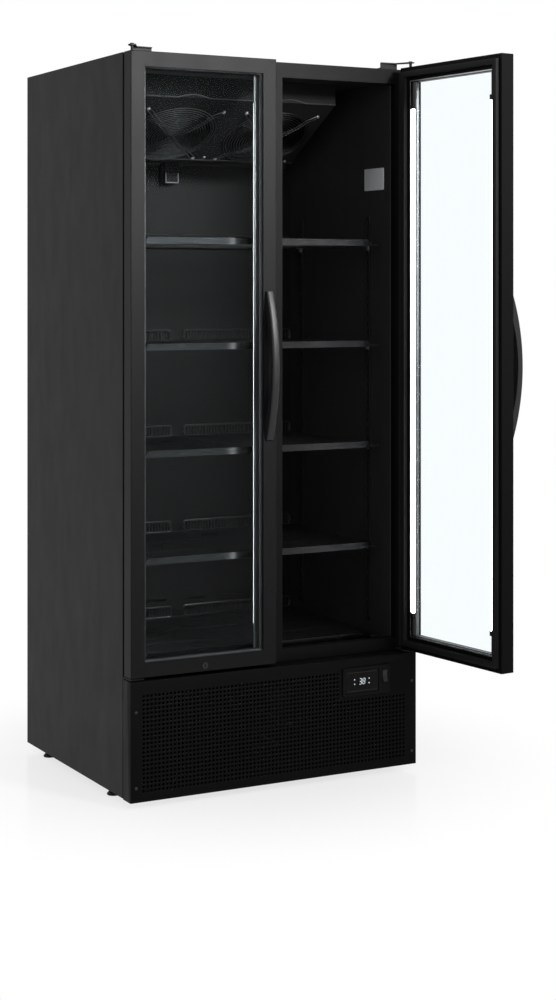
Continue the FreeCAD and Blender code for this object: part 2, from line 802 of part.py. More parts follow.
def shelf_clip(name, hand, row_start, rail_top):
    """A small bracket that hooks on a pilaster and carries the shelf's side wire."""
    top = f"({rail_top} - rail_height/2 - frame_wire)"
    reach = f"({SHELF_SIDE} - frame_wire)"
    tongue = block(name + "Tongue", sorted_bounds(hand, reach, PILASTER_FACE),
                   (f"{row_start} + (pilaster_width - clip_width)/2",
                    f"{row_start} + (pilaster_width + clip_width)/2"),
                   (f"{top} - clip_thickness", top))
    hook = block(name + "Hook", sorted_bounds(hand, f"{PILASTER_FACE} - clip_thickness", PILASTER_FACE),
                 (f"{row_start} + (pilaster_width - clip_width)/2",
                  f"{row_start} + (pilaster_width + clip_width)/2"),
                 (f"{top} - clip_height", top))
    return fused(name, [tongue, hook])


clips = []
for number in range(SIZES["shelf_count"]):
    for column, hand in HANDS:
        for row, start in (("Front", PILASTER_FRONT), ("Rear", PILASTER_REAR)):
            clips.append(shelf_clip(f"Clip{number + 1}{column}{row}", hand, start, rail_top_at(number)))
keep("shelf_clips", group("ShelfClips", clips))

# ---------------------------------------------------------------- evaporator

COVER_FRONT = f"({FRONT} + cover_front)"
COVER_LIP = f"({CELL_TOP} - cover_lip)"
COVER_HEEL = f"({COVER_FRONT} + ({COVER_LIP} - {COVER_BOTTOM})/tan(cover_fall*1deg))"
COVER_REAR = f"({DUCT_FRONT} - fit_gap)"
COVER_TOP = CELL_TOP
cover = new_body("EvaporatorCover")
cover_section = [
    (COVER_FRONT, COVER_TOP), (COVER_FRONT, COVER_LIP), (COVER_HEEL, COVER_BOTTOM),
    (COVER_REAR, COVER_BOTTOM), (COVER_REAR, COVER_TOP)]
pad(cover, draw(cover, "cover_outer", "YZ_Plane", "-cover_half", [cover_section]), "2*cover_half")
SLANT = "cover_sheet/cos(cover_fall*1deg)"
TURN = "cover_sheet*tan(cover_fall*1deg/2)"
cover_hollow = [
    (f"{COVER_FRONT} + cover_sheet", f"{COVER_TOP} + fit_gap"),
    (f"{COVER_FRONT} + cover_sheet", f"{COVER_LIP} + {SLANT} - cover_sheet*tan(cover_fall*1deg)"),
    (f"{COVER_HEEL} + {TURN}", f"{COVER_BOTTOM} + cover_sheet"),
    (f"{COVER_REAR} + fit_gap", f"{COVER_BOTTOM} + cover_sheet"),
    (f"{COVER_REAR} + fit_gap", f"{COVER_TOP} + fit_gap")]
pocket(cover, draw(cover, "cover_inner", "YZ_Plane", "-cover_half + cover_sheet", [cover_hollow]),
       "2*cover_half - 2*cover_sheet")

# Fan axes stand square on the slanted face of the cover.
FAN_Y = f"({COVER_FRONT} + fan_up_slope*cos(cover_fall*1deg))"
FAN_Z = f"({COVER_LIP} - fan_up_slope*sin(cover_fall*1deg))"
FAN_TURN = "180 - cover_fall"


def on_slope(thing, hand, inward="0"):
    """Stand a sub-part on the slanted face, with its own Z out into the cell."""
    return place(thing, f"{hand}*fan_centre", f"{FAN_Y} + ({inward})*sin(cover_fall*1deg)",
                 f"{FAN_Z} + ({inward})*cos(cover_fall*1deg)", X_AXIS, FAN_TURN)


fan_bores = [
    on_slope(bar(f"FanBore{side}", "fan_opening", "4*cover_sheet", sides="ring_sides"), hand, "2*cover_sheet")
    for side, hand in HANDS]
keep("evaporator_cover", less("EvaporatorCoverCut", cover, fan_bores))


def guard_ring(name, radius):
    """One wire ring of a fan guard."""
    outer, inner = [
        bar(name + label, f"{radius} {edge}", "guard_wire", z="guard_rise", sides="ring_sides")
        for label, edge in (("Outer", "+ guard_wire/2"), ("Inner", "- guard_wire/2"))]
    return less(name, outer, [inner])


def fan_guard(name, hand):
    """Welded rings on crossed arms, raised off the cover on four screwed lugs."""
    pitch = "(guard_radius - guard_hub)/(guard_rings - 1)"
    rings = [guard_ring(f"{name}Ring{number}", f"guard_hub + {number}*{pitch}")
             for number in range(SIZES["guard_rings"])]
    arms = new_body(name + "Arms")
    reach = "lug_offset*sqrt(2)"
    cross = [rectangle((f"-{reach}", reach), ("-guard_wire/2", "guard_wire/2")),
             rectangle(("-guard_wire/2", "guard_wire/2"), (f"-{reach}", reach))]
    pad(arms, draw(arms, name + "_arm", "XY_Plane", "guard_rise + guard_wire", [cross[0]]), "guard_wire")
    pad(arms, draw(arms, name + "_arm_across", "XY_Plane", "guard_rise + guard_wire", [cross[1]]),
        "guard_wire")
    ends = ((f"-{reach}", "0"), (reach, "0"), ("0", f"-{reach}"), ("0", reach))
    for number, (across, up) in enumerate(ends):
        lug = draw(arms, f"{name}_lug{number}", "XY_Plane", "0",
                   [many_sided(across, up, "lug_radius", "lug_sides")])
        pad(arms, lug, "guard_rise + 2*guard_wire")
    place(arms, axis=Z_AXIS, turn="45")
    return on_slope(group(name, rings + [arms]), hand)


keep("fan_guards", group("FanGuards", [fan_guard(f"FanGuard{side}", hand) for side, hand in HANDS]))


HUB_LOW = "(-hub_setback - hub_height)"


def fan_rotor(name, reach):
    """A hub with pitched blades that widen to the tip, on a short shaft.

    Its own Z is the axis, towards the air."""
    body = new_body(name)
    hub = many_sided("0", "0", "hub_radius", "hub_sides")
    pad(body, draw(body, name + "_hub", "XY_Plane", HUB_LOW, [hub]), "hub_height")
    shaft_end = f"{HUB_LOW} - motor_gap - motor_height/2"
    pad(body, draw(body, name + "_shaft", "XY_Plane", shaft_end, circles=[("0", "0", "shaft_radius")]),
        "motor_gap + motor_height/2 + hub_height/2")
    root = "hub_radius - blade_root_inset"
    outline = [(root, "-blade_root/2"), (reach, "-blade_tip/2"),
               (reach, "blade_tip/2"), (root, "blade_root/2")]
    tilted = draw(body, name + "_blade", "XY_Plane", f"{HUB_LOW} + hub_height/2", [outline])
    tilted.AttachmentOffset = FreeCAD.Placement(
        tilted.AttachmentOffset.Base, FreeCAD.Rotation(X_AXIS, value("blade_pitch")))
    bind(tilted, ".AttachmentOffset.Rotation.Angle", "blade_pitch * 1 deg")
    blade = pad(body, tilted, "blade_thickness")
    ring = body.newObject("PartDesign::PolarPattern", name + "_blades")
    ring.Originals = [blade]
    axis = [item for item in body.Origin.OriginFeatures if item.Role == "Z_Axis"][0]
    ring.Axis = (axis, [""])
    ring.Angle = 360
    bind(ring, "Occurrences", "blade_count")
    body.Tip = ring
    return body


for side, hand in HANDS:
    rotor = fan_rotor(f"EvaporatorFan{side}", "blade_radius")
    keep(f"evaporator_fan_{side.lower()}", on_slope(rotor, hand))


def fan_motor(name, seat):
    """A motor can behind the hub, bored for the fan's shaft, on a strap with two legs up to its seat."""
    body = new_body(name + "Can")
    can_top = f"({HUB_LOW} - motor_gap)"
    can_low = f"({can_top} - motor_height)"
    can = many_sided("0", "0", "motor_radius", "hub_sides")
    pad(body, draw(body, name + "_can", "XY_Plane", can_low, [can]), "motor_height")
    bore = draw(body, name + "_bore", "XY_Plane", f"{can_top} - motor_height/2 - shaft_end_gap",
                circles=[("0", "0", "shaft_radius + shaft_play")])
    pocket(body, bore, "motor_height/2 + shaft_end_gap")
    width = ("-bracket_width/2", "bracket_width/2")
    strap = block(name + "Strap", ("-bracket_reach", "bracket_reach"), width,
                  (f"{can_low} - bracket_sheet", can_low))
    legs = [block(f"{name}Leg{side}", sorted_bounds(hand, "bracket_reach - bracket_sheet", "bracket_reach"),
                  width, (can_low, seat)) for side, hand in HANDS]
    return group(name, [body, strap] + legs)


motors = [on_slope(fan_motor(f"EvaporatorMotor{side}", "-cover_sheet"), hand) for side, hand in HANDS]


def finned_coil(name, x, y, z, count):
    """A packed tube core with thin upright fins standing forward of it."""
    body = new_body(name)
    core = f"({y[0]} + ({y[1]} - {y[0]})*fin_share)"
    height = f"{z[1]} - {z[0]}"
    pad(body, draw(body, name + "_core", "XY_Plane", z[0], [rectangle(x, (core, y[1]))]), height)
    fin = draw(body, name + "_fin", "XY_Plane", z[0],
               [rectangle((x[0], f"{x[0]} + fin_thickness"), (y[0], core))])
    repeat(body, pad(body, fin, height), "X_Axis", count,
           f"({x[1]} - ({x[0]}) - fin_thickness)/({count} - 1)")
    return body


COIL_REAR = f"({COVER_REAR} - coil_rear_gap)"
COIL_LOW = f"({COVER_BOTTOM} + cover_sheet + coil_floor_gap)"
coil = finned_coil("Coil", ("-coil_half", "coil_half"), (f"({COIL_REAR} - coil_depth)", COIL_REAR),
                   (COIL_LOW, f"{COIL_LOW} + coil_height"), "fin_count")
plates = [block(f"CoilPlate{side}", sorted_bounds(hand, "coil_half", "coil_half + coil_plate"),
                (f"{COIL_REAR} - coil_depth", COIL_REAR),
                (f"{COVER_BOTTOM} + cover_sheet", f"{COIL_LOW} + coil_height"))
          for side, hand in HANDS]
keep("evaporator_coil", fused("EvaporatorCoil", [coil] + plates))

# A small drain cup hangs under the pan, open at the top.
CUP_REAR = f"({DUCT_FRONT} - fit_gap)"
cup = new_body("DrainCup")
cup_outer = rectangle(("-cup_centre - cup_width/2", "-cup_centre + cup_width/2"),
                      (f"{CUP_REAR} - cup_depth", CUP_REAR))
cup_inner = rectangle(
    ("-cup_centre - cup_width/2 + cup_wall", "-cup_centre + cup_width/2 - cup_wall"),
    (f"{CUP_REAR} - cup_depth + cup_wall", f"{CUP_REAR} - cup_wall"))
CUP_LOW = f"({COVER_BOTTOM} - cup_height)"
pad(cup, draw(cup, "cup_outer", "XY_Plane", CUP_LOW, [cup_outer]), "cup_height")
pocket(cup, draw(cup, "cup_inner", "XY_Plane", f"{CUP_LOW} + cup_wall", [cup_inner]), "cup_height")
keep("drain_cup", cup)

# ---------------------------------------------------------------- machine compartment

CHASSIS_FRONT = f"({FRONT} + sheet + fit_gap)"
CHASSIS_LOW = "(panel_clearance + fit_gap)"
CHASSIS_FLOOR = "(panel_clearance + fit_gap + chassis_sheet)"
FOOT_SPOTS = [(f"{across}*({HALF} - foot_side_inset)", f"{along}*({BACK} - foot_end_inset)")
              for along in (-1, 1) for across in (-1, 1)]
chassis = new_body("Chassis")
chassis_rings = [
    rectangle((f"-{INSIDE}", INSIDE), (CHASSIS_LOW, "sill_bottom")),
    rectangle((f"-{INSIDE} + chassis_sheet", f"{INSIDE} - chassis_sheet"),
              (CHASSIS_FLOOR, "sill_bottom - chassis_sheet"))]
pad(chassis, draw(chassis, "chassis_ring", "XZ_Plane", CHASSIS_FRONT, chassis_rings),
    f"{REAR_SKIN} - {CHASSIS_FRONT}")
nuts = [many_sided(x, y, "foot_nut_radius", "nut_sides") for x, y in FOOT_SPOTS]
pad(chassis, draw(chassis, "foot_nuts", "XY_Plane", CHASSIS_FLOOR, nuts), "foot_nut_height")
stem_holes = [(x, y, "stem_radius + stem_play") for x, y in FOOT_SPOTS]
pocket(chassis, draw(chassis, "stem_holes", "XY_Plane", CHASSIS_LOW, circles=stem_holes),
       "chassis_sheet + foot_nut_height")
keep("base_chassis", chassis)


def levelling_foot(name, x, y):
    """A foot that narrows to its stem, screwed fully in."""
    body = new_body(name)
    sole = pad(body, draw(body, name + "_sole", "XY_Plane", "0", [
        many_sided("0", "0", "foot_radius", "foot_sides")]), "foot_height")
    top = value("foot_height")
    dress(body, "Chamfer", sole, "foot_radius - foot_neck",
          lambda ends: all(near(end.z, top) for end in ends))
    pad(body, draw(body, name + "_stem", "XY_Plane", "foot_height/2", circles=[("0", "0", "stem_radius")]),
        "stem_length - foot_height/2")
    return place(body, x, y)


for label, (x, y) in zip(("front_left", "front_right", "rear_left", "rear_right"), FOOT_SPOTS):
    keep(f"foot_{label}", levelling_foot("Foot" + label.title().replace("_", ""), x, y))

# Condenser, shroud and fan stand in line behind the left half of the grille.
CONDENSER_FRONT = f"({FRONT} + condenser_front_gap)"
CONDENSER_LOW = CHASSIS_FLOOR
CONDENSER_TOP = f"({CHASSIS_FLOOR} + condenser_height)"
CONDENSER_MIDDLE = f"({CHASSIS_FLOOR} + condenser_height/2)"
SHROUD_FRONT = f"({CONDENSER_FRONT} + condenser_depth)"
SHROUD_BACK = f"({SHROUD_FRONT} + shroud_depth)"
keep("condenser_coil", finned_coil(
    "CondenserCoil", ("(condenser_centre - condenser_width/2)", "(condenser_centre + condenser_width/2)"),
    (CONDENSER_FRONT, SHROUD_FRONT), (CONDENSER_LOW, CONDENSER_TOP), "condenser_fins"))

SHROUD_PLATE = f"({SHROUD_BACK} - shroud_sheet)"
ORIFICE = "(condenser_blade + orifice_gap)"
shroud_x = ("condenser_centre - condenser_width/2", "condenser_centre + condenser_width/2")
shroud_z = (CONDENSER_LOW, CONDENSER_TOP)
shroud_corners = rectangle(shroud_x, shroud_z)


def orifice_quarter(number):
    """A mitred quarter of the plate behind the coil: one side of it and its share of the round orifice."""
    body = new_body(f"ShroudPlate{number}")
    steps = SIZES["ring_sides"]//4
    turns = [f"({number} + {step}/{steps} - 1.5)*90deg" for step in range(steps, -1, -1)]
    rim = [(f"condenser_centre + {ORIFICE}*cos({turn})", f"{CONDENSER_MIDDLE} + {ORIFICE}*sin({turn})")
           for turn in turns]
    outline = [shroud_corners[number], shroud_corners[(number + 1) % 4]] + rim
    pad(body, draw(body, f"shroud_plate{number}", "XZ_Plane", SHROUD_PLATE, [outline]), "shroud_sheet")
    return body


shroud_depth = (SHROUD_FRONT, SHROUD_PLATE)
inner_z = (f"{shroud_z[0]} + shroud_sheet", f"{shroud_z[1]} - shroud_sheet")
shroud_walls = [
    block("ShroudFloor", shroud_x, shroud_depth, (shroud_z[0], inner_z[0])),
    block("ShroudRoof", shroud_x, shroud_depth, (inner_z[1], shroud_z[1])),
    block("ShroudWallLeft", (shroud_x[0], f"{shroud_x[0]} + shroud_sheet"), shroud_depth, inner_z),
    block("ShroudWallRight", (f"{shroud_x[1]} - shroud_sheet", shroud_x[1]), shroud_depth, inner_z)]
keep("condenser_shroud", group("Shroud", [orifice_quarter(number) for number in range(4)] + shroud_walls))


def behind_shroud(thing):
    """Stand a sub-part on the shroud's back, with its own Z towards the front."""
    return place(thing, "condenser_centre", SHROUD_BACK, CONDENSER_MIDDLE, X_AXIS, "90")


keep("condenser_fan", behind_shroud(fan_rotor("CondenserFan", "condenser_blade")))
motors.append(behind_shroud(fan_motor("CondenserMotor", "0")))
keep("fan_motors", group("FanMotors", motors))

# The compressor is a welded pot on a foot plate, standing on four rubber grommets.
COMPRESSOR_BASE = f"({CHASSIS_FLOOR} + compressor_lift)"
pot = new_body("Compressor")
pot_profile = [
    ("0", "0"), ("compressor_radius - compressor_foot_bevel", "0"),
    ("compressor_radius", "compressor_foot_bevel"),
    ("compressor_radius", "compressor_height - compressor_dome"),
    ("compressor_radius - compressor_shoulder", "compressor_height - compressor_shoulder"),
    ("compressor_radius - compressor_dome", "compressor_height"), ("0", "compressor_height")]
revolve(pot, draw(pot, "pot_profile", "XZ_Plane", "0", [pot_profile]))
pad(pot, draw(pot, "foot_plate", "XY_Plane", "0", [
    rectangle(("-grommet_spread - grommet_radius", "grommet_spread + grommet_radius"),
              ("-grommet_depth - grommet_radius", "grommet_depth + grommet_radius"))]), "hinge_plate")
pad(pot, draw(pot, "terminal_box", "YZ_Plane", "compressor_radius - terminal_sink", [
    rectangle(("-terminal_half", "terminal_half"), ("terminal_low", "terminal_high"))]),
    "terminal_sink + terminal_depth")
place(pot, "compressor_centre", "compressor_setback", COMPRESSOR_BASE)
grommets = [
    bar(f"Grommet{across}{along}".replace("-", "m"), "grommet_radius", "compressor_lift",
        f"compressor_centre + {across}*grommet_spread", f"compressor_setback + {along}*grommet_depth",
        CHASSIS_FLOOR)
    for across in (-1, 1) for along in (-1, 1)]
keep("compressor", group("CompressorUnit", [pot] + grommets))

tray = new_body("CondensateTray")
tray_x = ("tray_left", "tray_left + tray_length")
tray_y = ("tray_front", "tray_front + tray_width")
pad(tray, draw(tray, "tray_outer", "XY_Plane", CHASSIS_FLOOR, [rectangle(tray_x, tray_y)]), "tray_height")
pocket(tray, draw(tray, "tray_inner", "XY_Plane", f"{CHASSIS_FLOOR} + tray_wall", [
    rectangle((f"{tray_x[0]} + tray_wall", f"{tray_x[1]} - tray_wall"),
              (f"{tray_y[0]} + tray_wall", f"{tray_y[1]} - tray_wall"))]), "tray_height")
keep("condensate_tray", tray)


def pipe(name, height, lead):
    """A copper pipe in one level: out of the compressor, forward, and across to the condenser."""
    start_x = "compressor_centre - compressor_radius"
    run_x = f"({start_x} - {lead})"
    end_x = "(condenser_centre + condenser_width/2)"
    end_y = f"({CONDENSER_FRONT} + condenser_depth/2)"
    return fused(name, [
        bar(name + "Out", "pipe_radius", lead, start_x, "compressor_setback", height, Y_AXIS, "-90"),
        bar(name + "Forward", "pipe_radius", f"compressor_setback - {end_y} + 2*pipe_radius",
            run_x, "compressor_setback + pipe_radius", height, X_AXIS, "90"),
        bar(name + "Across", "pipe_radius", f"{run_x} - {end_x}", run_x, end_y, height, Y_AXIS, "-90")])


keep("refrigerant_pipes", group("RefrigerantPipes", [
    pipe("DischargePipe", f"({COMPRESSOR_BASE} + discharge_height)", "discharge_lead"),
    pipe("ReturnPipe", f"({COMPRESSOR_BASE} + return_height)", "return_lead")]))

gland = new_body("CordGland")
pad(gland, draw(gland, "gland_body", "XZ_Plane", f"{REAR_SKIN} - gland_reach", [
    many_sided(GLAND_X, "gland_height", "gland_radius", "gland_sides")]),
    f"{BACK} - {REAR_SKIN} + gland_reach")
pad(gland, draw(gland, "gland_ring", "XZ_Plane", f"{REAR_SKIN} + sheet", [
    many_sided(GLAND_X, "gland_height", "gland_flange", "gland_sides")]), f"{BACK} - {REAR_SKIN} - sheet")
keep("cord_gland", gland)

# ---------------------------------------------------------------- lower front panel and controller

grille = new_body("GrillePanel")
grille_outer = pad(grille, draw(grille, "grille_outer", "XZ_Plane", DOOR_FRONT, [
    rectangle((f"-{HALF}", HALF), ("grille_bottom", "grille_top"))]), f"{GRILLE_BACK} - {DOOR_FRONT}")
front_y = value(DOOR_FRONT)
top_z = value("grille_top")
dress(grille, "Chamfer", grille_outer, "grille_bevel",
      lambda ends: all(near(end.y, front_y) and near(end.z, top_z) for end in ends))
pocket(grille, draw(grille, "grille_hollow", "XZ_Plane", f"{DOOR_FRONT} + grille_sheet", [
    rectangle((f"-{HALF} + grille_sheet", f"{HALF} - grille_sheet"),
              ("grille_bottom + grille_sheet", "grille_top - grille_sheet"))]), "door_depth + door_gap")
window_x = (f"{BEZEL_LEFT} + bezel_overlap - fit_gap", f"{BEZEL_RIGHT} - bezel_overlap + fit_gap")
window_z = ("bezel_bottom + bezel_overlap - fit_gap", "bezel_top - bezel_overlap + fit_gap")
pocket(grille, draw(grille, "controller_window", "XZ_Plane", DOOR_FRONT, [rectangle(window_x, window_z)]),
       "grille_sheet")
field_x = f"(-{HALF} + hole_field_left)"
field_z = "(grille_bottom + hole_field_bottom)"
main_columns = f"floor(({BEZEL_LEFT} - {field_x})/hole_pitch)"
low_x = f"({field_x} + {main_columns}*hole_pitch)"
low_columns = f"floor(({HALF} - hole_field_left - {low_x})/hole_pitch)"
for label, start, columns, rows in (
        ("main", field_x, main_columns, "hole_rows"), ("low", low_x, low_columns, "low_hole_rows")):
    square = draw(grille, f"{label}_hole", "XZ_Plane", DOOR_FRONT, [
        rectangle((start, f"{start} + hole_side"), (field_z, f"{field_z} + hole_side"))])
    hole = pocket(grille, square, "grille_sheet")
    pattern = repeat(grille, hole, "X_Axis", columns, "hole_pitch")
    upward = [item for item in grille.Origin.OriginFeatures if item.Role == "Z_Axis"][0]
    pattern.Direction2 = (upward, [""])
    pattern.Mode2 = "Spacing"
    bind(pattern, "Offset2", "hole_pitch")
    bind(pattern, "Occurrences2", rows)
TONGUE_DEPTH = f"({DOOR_FRONT} + lock_depth)"
keeper_y = (f"{TONGUE_DEPTH} - tongue_play", f"{TONGUE_DEPTH} + tongue_thickness + tongue_play")
keepers = []
for hand in ("-1", "1"):
    inner = f"{hand}*(lock_offset - tongue_height)"
    outer = f"{hand}*(lock_offset + keeper_reach)"
    keepers.append(rectangle((inner, outer), keeper_y))
pocket(grille, draw(grille, "keeper_slots", "XY_Plane", "grille_top - grille_sheet", keepers), "grille_sheet")
keep("grille_panel", grille)

controller = new_body("ControllerHousing")
BEZEL_FRONT = f"({DOOR_FRONT} - bezel_proud)"
bezel = pad(controller, draw(controller, "bezel", "XZ_Plane", BEZEL_FRONT, [
    rectangle((BEZEL_LEFT, BEZEL_RIGHT), ("bezel_bottom", "bezel_top"))]), "bezel_proud")
dress(controller, "Fillet", bezel, "bezel_round",
      lambda ends: len(ends) == 2 and abs(ends[0].y - ends[1].y) > 1)
pad(controller, draw(controller, "controller_case", "XZ_Plane", DOOR_FRONT, [
    rectangle((f"{BEZEL_LEFT} + bezel_overlap", f"{BEZEL_RIGHT} - bezel_overlap"),
              ("bezel_bottom + bezel_overlap", "bezel_top - bezel_overlap"))]), "controller_depth")
pocket(controller, draw(controller, "display_window", "XZ_Plane", BEZEL_FRONT, [
    rectangle((DISPLAY_LEFT, DISPLAY_RIGHT), ("display_bottom", "display_top"))]),
    "display_recess + display_thickness")
rocker_well = rectangle(
    (f"{ROCKER_CENTRE} - rocker_width/2 - rocker_play", f"{ROCKER_CENTRE} + rocker_width/2 + rocker_play"),
    ("rocker_middle - rocker_height/2 - rocker_end_play",
     "rocker_middle + rocker_height/2 + rocker_end_play"))
pocket(controller, draw(controller, "rocker_well", "XZ_Plane", BEZEL_FRONT, [rocker_well]),
       "rocker_well_depth")
ROCKER_AXIS = f"({BEZEL_FRONT} + rocker_pivot_depth)"
pocket(controller, draw(controller, "trunnion_bore", "YZ_Plane",
                        f"{ROCKER_CENTRE} - rocker_width/2 - rocker_play - trunnion_reach", circles=[
                            (ROCKER_AXIS, "rocker_middle", "trunnion_radius + pin_play")]),
       "rocker_width + 2*rocker_play + 2*trunnion_reach")
keep("controller_housing", controller)

keep("controller_display", block("ControllerDisplay",
                                 (f"{DISPLAY_LEFT} + fit_gap", f"{DISPLAY_RIGHT} - fit_gap"),
                                 (f"{BEZEL_FRONT} + display_recess",
                                  f"{BEZEL_FRONT} + display_recess + display_thickness"),
                                 ("display_bottom + fit_gap", "display_top - fit_gap")))

# The rocker turns on two trunnions; it is stored pressed at the top.
rocker = new_body("PowerRocker")
rocker_section = [
    ("-rocker_pivot_depth - rocker_proud", "rocker_height/2"), ("-rocker_pivot_depth", "0"),
    ("-rocker_pivot_depth - rocker_proud", "-rocker_height/2"),
    ("0", "-rocker_height/2 + rocker_taper"), ("rocker_belly", "0"),
    ("0", "rocker_height/2 - rocker_taper")]
pad(rocker, draw(rocker, "rocker_section", "YZ_Plane", "-rocker_width/2", [rocker_section]), "rocker_width")
pad(rocker, draw(rocker, "trunnions", "YZ_Plane", "-rocker_width/2 - trunnion_reach",
                 circles=[("0", "0", "trunnion_radius")]), "rocker_width + 2*trunnion_reach")
keep("power_rocker", place(rocker, ROCKER_CENTRE, ROCKER_AXIS, "rocker_middle", X_AXIS, "-rocker_throw/2"))

# ---------------------------------------------------------------- hinge brackets

PIN_X = f"({HALF} - pin_inset)"
PIN_Y = f"({DOOR_FRONT} + pin_setback)"


def upper_bracket(name, hand):
    """A cranked plate on the cabinet top that carries the upper pin over the door's corner."""
    body = new_body(name)
    inner = f"{hand}*({HALF} - hinge_foot_inner)"
    outer = f"{hand}*({HALF} - hinge_foot_outer)"
    back_edge = f"({FRONT} + hinge_foot_depth)"
    riser_front = f"({FRONT} + sheet)"
    riser_back = f"({FRONT} + sheet + hinge_plate)"
    lift = f"({TOP} + hinge_lift)"
    foot = [rectangle((inner, outer), (riser_front, back_edge))]
    pad(body, draw(body, name + "_foot", "XY_Plane", TOP, foot), "hinge_plate")
    riser = [rectangle((inner, outer), (riser_front, riser_back))]
    pad(body, draw(body, name + "_riser", "XY_Plane", TOP, riser), "hinge_lift + hinge_plate")
    nose_in = f"{hand}*({PIN_X} - hinge_nose)"
    nose_out = f"{hand}*({PIN_X} + hinge_nose)"
    arm = [
        (inner, riser_back), (outer, riser_back), (nose_out, f"{PIN_Y} + hinge_nose"),
        (nose_out, f"{PIN_Y} - hinge_nose"), (nose_in, f"{PIN_Y} - hinge_nose"),
        (f"{hand}*({HALF} - hinge_foot_outer - hinge_nose)", f"{riser_front} - hinge_nose"),
        (inner, f"{riser_front} - hinge_nose/2")]
    pad(body, draw(body, name + "_arm", "XY_Plane", lift, [arm]), "hinge_plate")
    pin_x = f"{hand}*{PIN_X}"
    pin = draw(body, name + "_pin", "XY_Plane", f"{TOP} - pin_depth + pin_end_gap",
               circles=[(pin_x, PIN_Y, "pin_radius")])
    pad(body, pin, "pin_depth - pin_end_gap + hinge_lift + hinge_plate/2")
    head = many_sided(pin_x, PIN_Y, "pin_head_radius", "pin_head_sides")
    pad(body, draw(body, name + "_head", "XY_Plane", f"{lift} + hinge_plate", [head]), "pin_head")
    return body


def lower_bracket(name, hand):
    """An angle on the cabinet front, with a pin and washer under the door's corner."""
    body = new_body(name)
    inner = f"{hand}*({HALF} - sheet - lower_plate_width)"
    outer = f"{hand}*({HALF} - sheet)"
    plate_top = "(door_bottom - fit_gap - washer_height)"
    leg_front = f"({FRONT} - hinge_plate)"
    pad(body, draw(body, name + "_plate", "XY_Plane", f"{plate_top} - hinge_plate", [
        rectangle((inner, outer), (f"{PIN_Y} - hinge_nose", FRONT))]), "hinge_plate")
    pad(body, draw(body, name + "_leg", "XY_Plane", f"{plate_top} - lower_leg_height", [
        rectangle((inner, outer), (leg_front, FRONT))]), "lower_leg_height")
    pin_x = f"{hand}*{PIN_X}"
    washer = many_sided(pin_x, PIN_Y, "washer_radius", "washer_sides")
    pad(body, draw(body, name + "_washer", "XY_Plane", plate_top, [washer]), "washer_height")
    pad(body, draw(body, name + "_pin", "XY_Plane", plate_top, circles=[(pin_x, PIN_Y, "pin_radius")]),
        "washer_height + pin_depth - pin_end_gap")
    return body


keep("upper_hinge_brackets", group("UpperHingeBrackets", [
    upper_bracket(f"UpperBracket{side}", hand) for side, hand in HANDS]))
keep("lower_hinge_brackets", group("LowerHingeBrackets", [
    lower_bracket(f"LowerBracket{side}", hand) for side, hand in HANDS]))


def hex_screw(name, x, y):
    """A hexagon head on the foot of an upper hinge bracket."""
    body = new_body(name)
    head = many_sided("0", "0", "hinge_screw_radius", "nut_sides")
    pad(body, draw(body, name + "_head", "XY_Plane", "0", [head]), "hinge_screw_height")
    return place(body, x, y, f"{TOP} + hinge_plate")


screws = []
for side, hand in HANDS:
    for row, height in (("High", "grille_screw_high"), ("Low", "grille_screw_low")):
        screws.append(bar(f"GrilleScrew{side}{row}", "screw_head", "screw_head_height",
                          f"{hand}*({HALF} - grille_screw_inset)", DOOR_FRONT, height, X_AXIS, "90"))
    for row, back_from_front in (("Front", "hinge_screw_front"), ("Rear", "hinge_screw_rear")):
        for column, inset in (("Outer", "hinge_foot_outer + hinge_screw_side"),
                              ("Inner", "hinge_foot_inner - hinge_screw_side")):
            screws.append(hex_screw(f"HingeScrew{side}{row}{column}", f"{hand}*({HALF} - ({inset}))",
                                    f"{FRONT} + {back_from_front}"))
keep("cabinet_screws", group("CabinetScrews", screws))

# ---------------------------------------------------------------- doors

# Each door is drawn about its own hinge pin: X towards the free edge, Y into the cabinet.
DOOR_TOP = TOP
FACE = "(-pin_setback)"
FACE_BACK = "(door_depth - pin_setback)"
GLASS_FRONT = "(-pin_setback + front_lip)"
GLASS_BACK = "(-pin_setback + front_lip + 2*pane_thickness + glass_cavity)"
REBATE = "(door_face - glass_cover)"


def door_span(way, inset):
    """The door's two upright edges, moved in by an inset."""
    return (f"{way}*({inset} - pin_inset)", f"{way}*({DOOR_WIDTH} - pin_inset - ({inset}))")


def door_ring(way, inset):
    return rectangle(door_span(way, inset), (f"door_bottom + {inset}", f"{DOOR_TOP} - {inset}"))


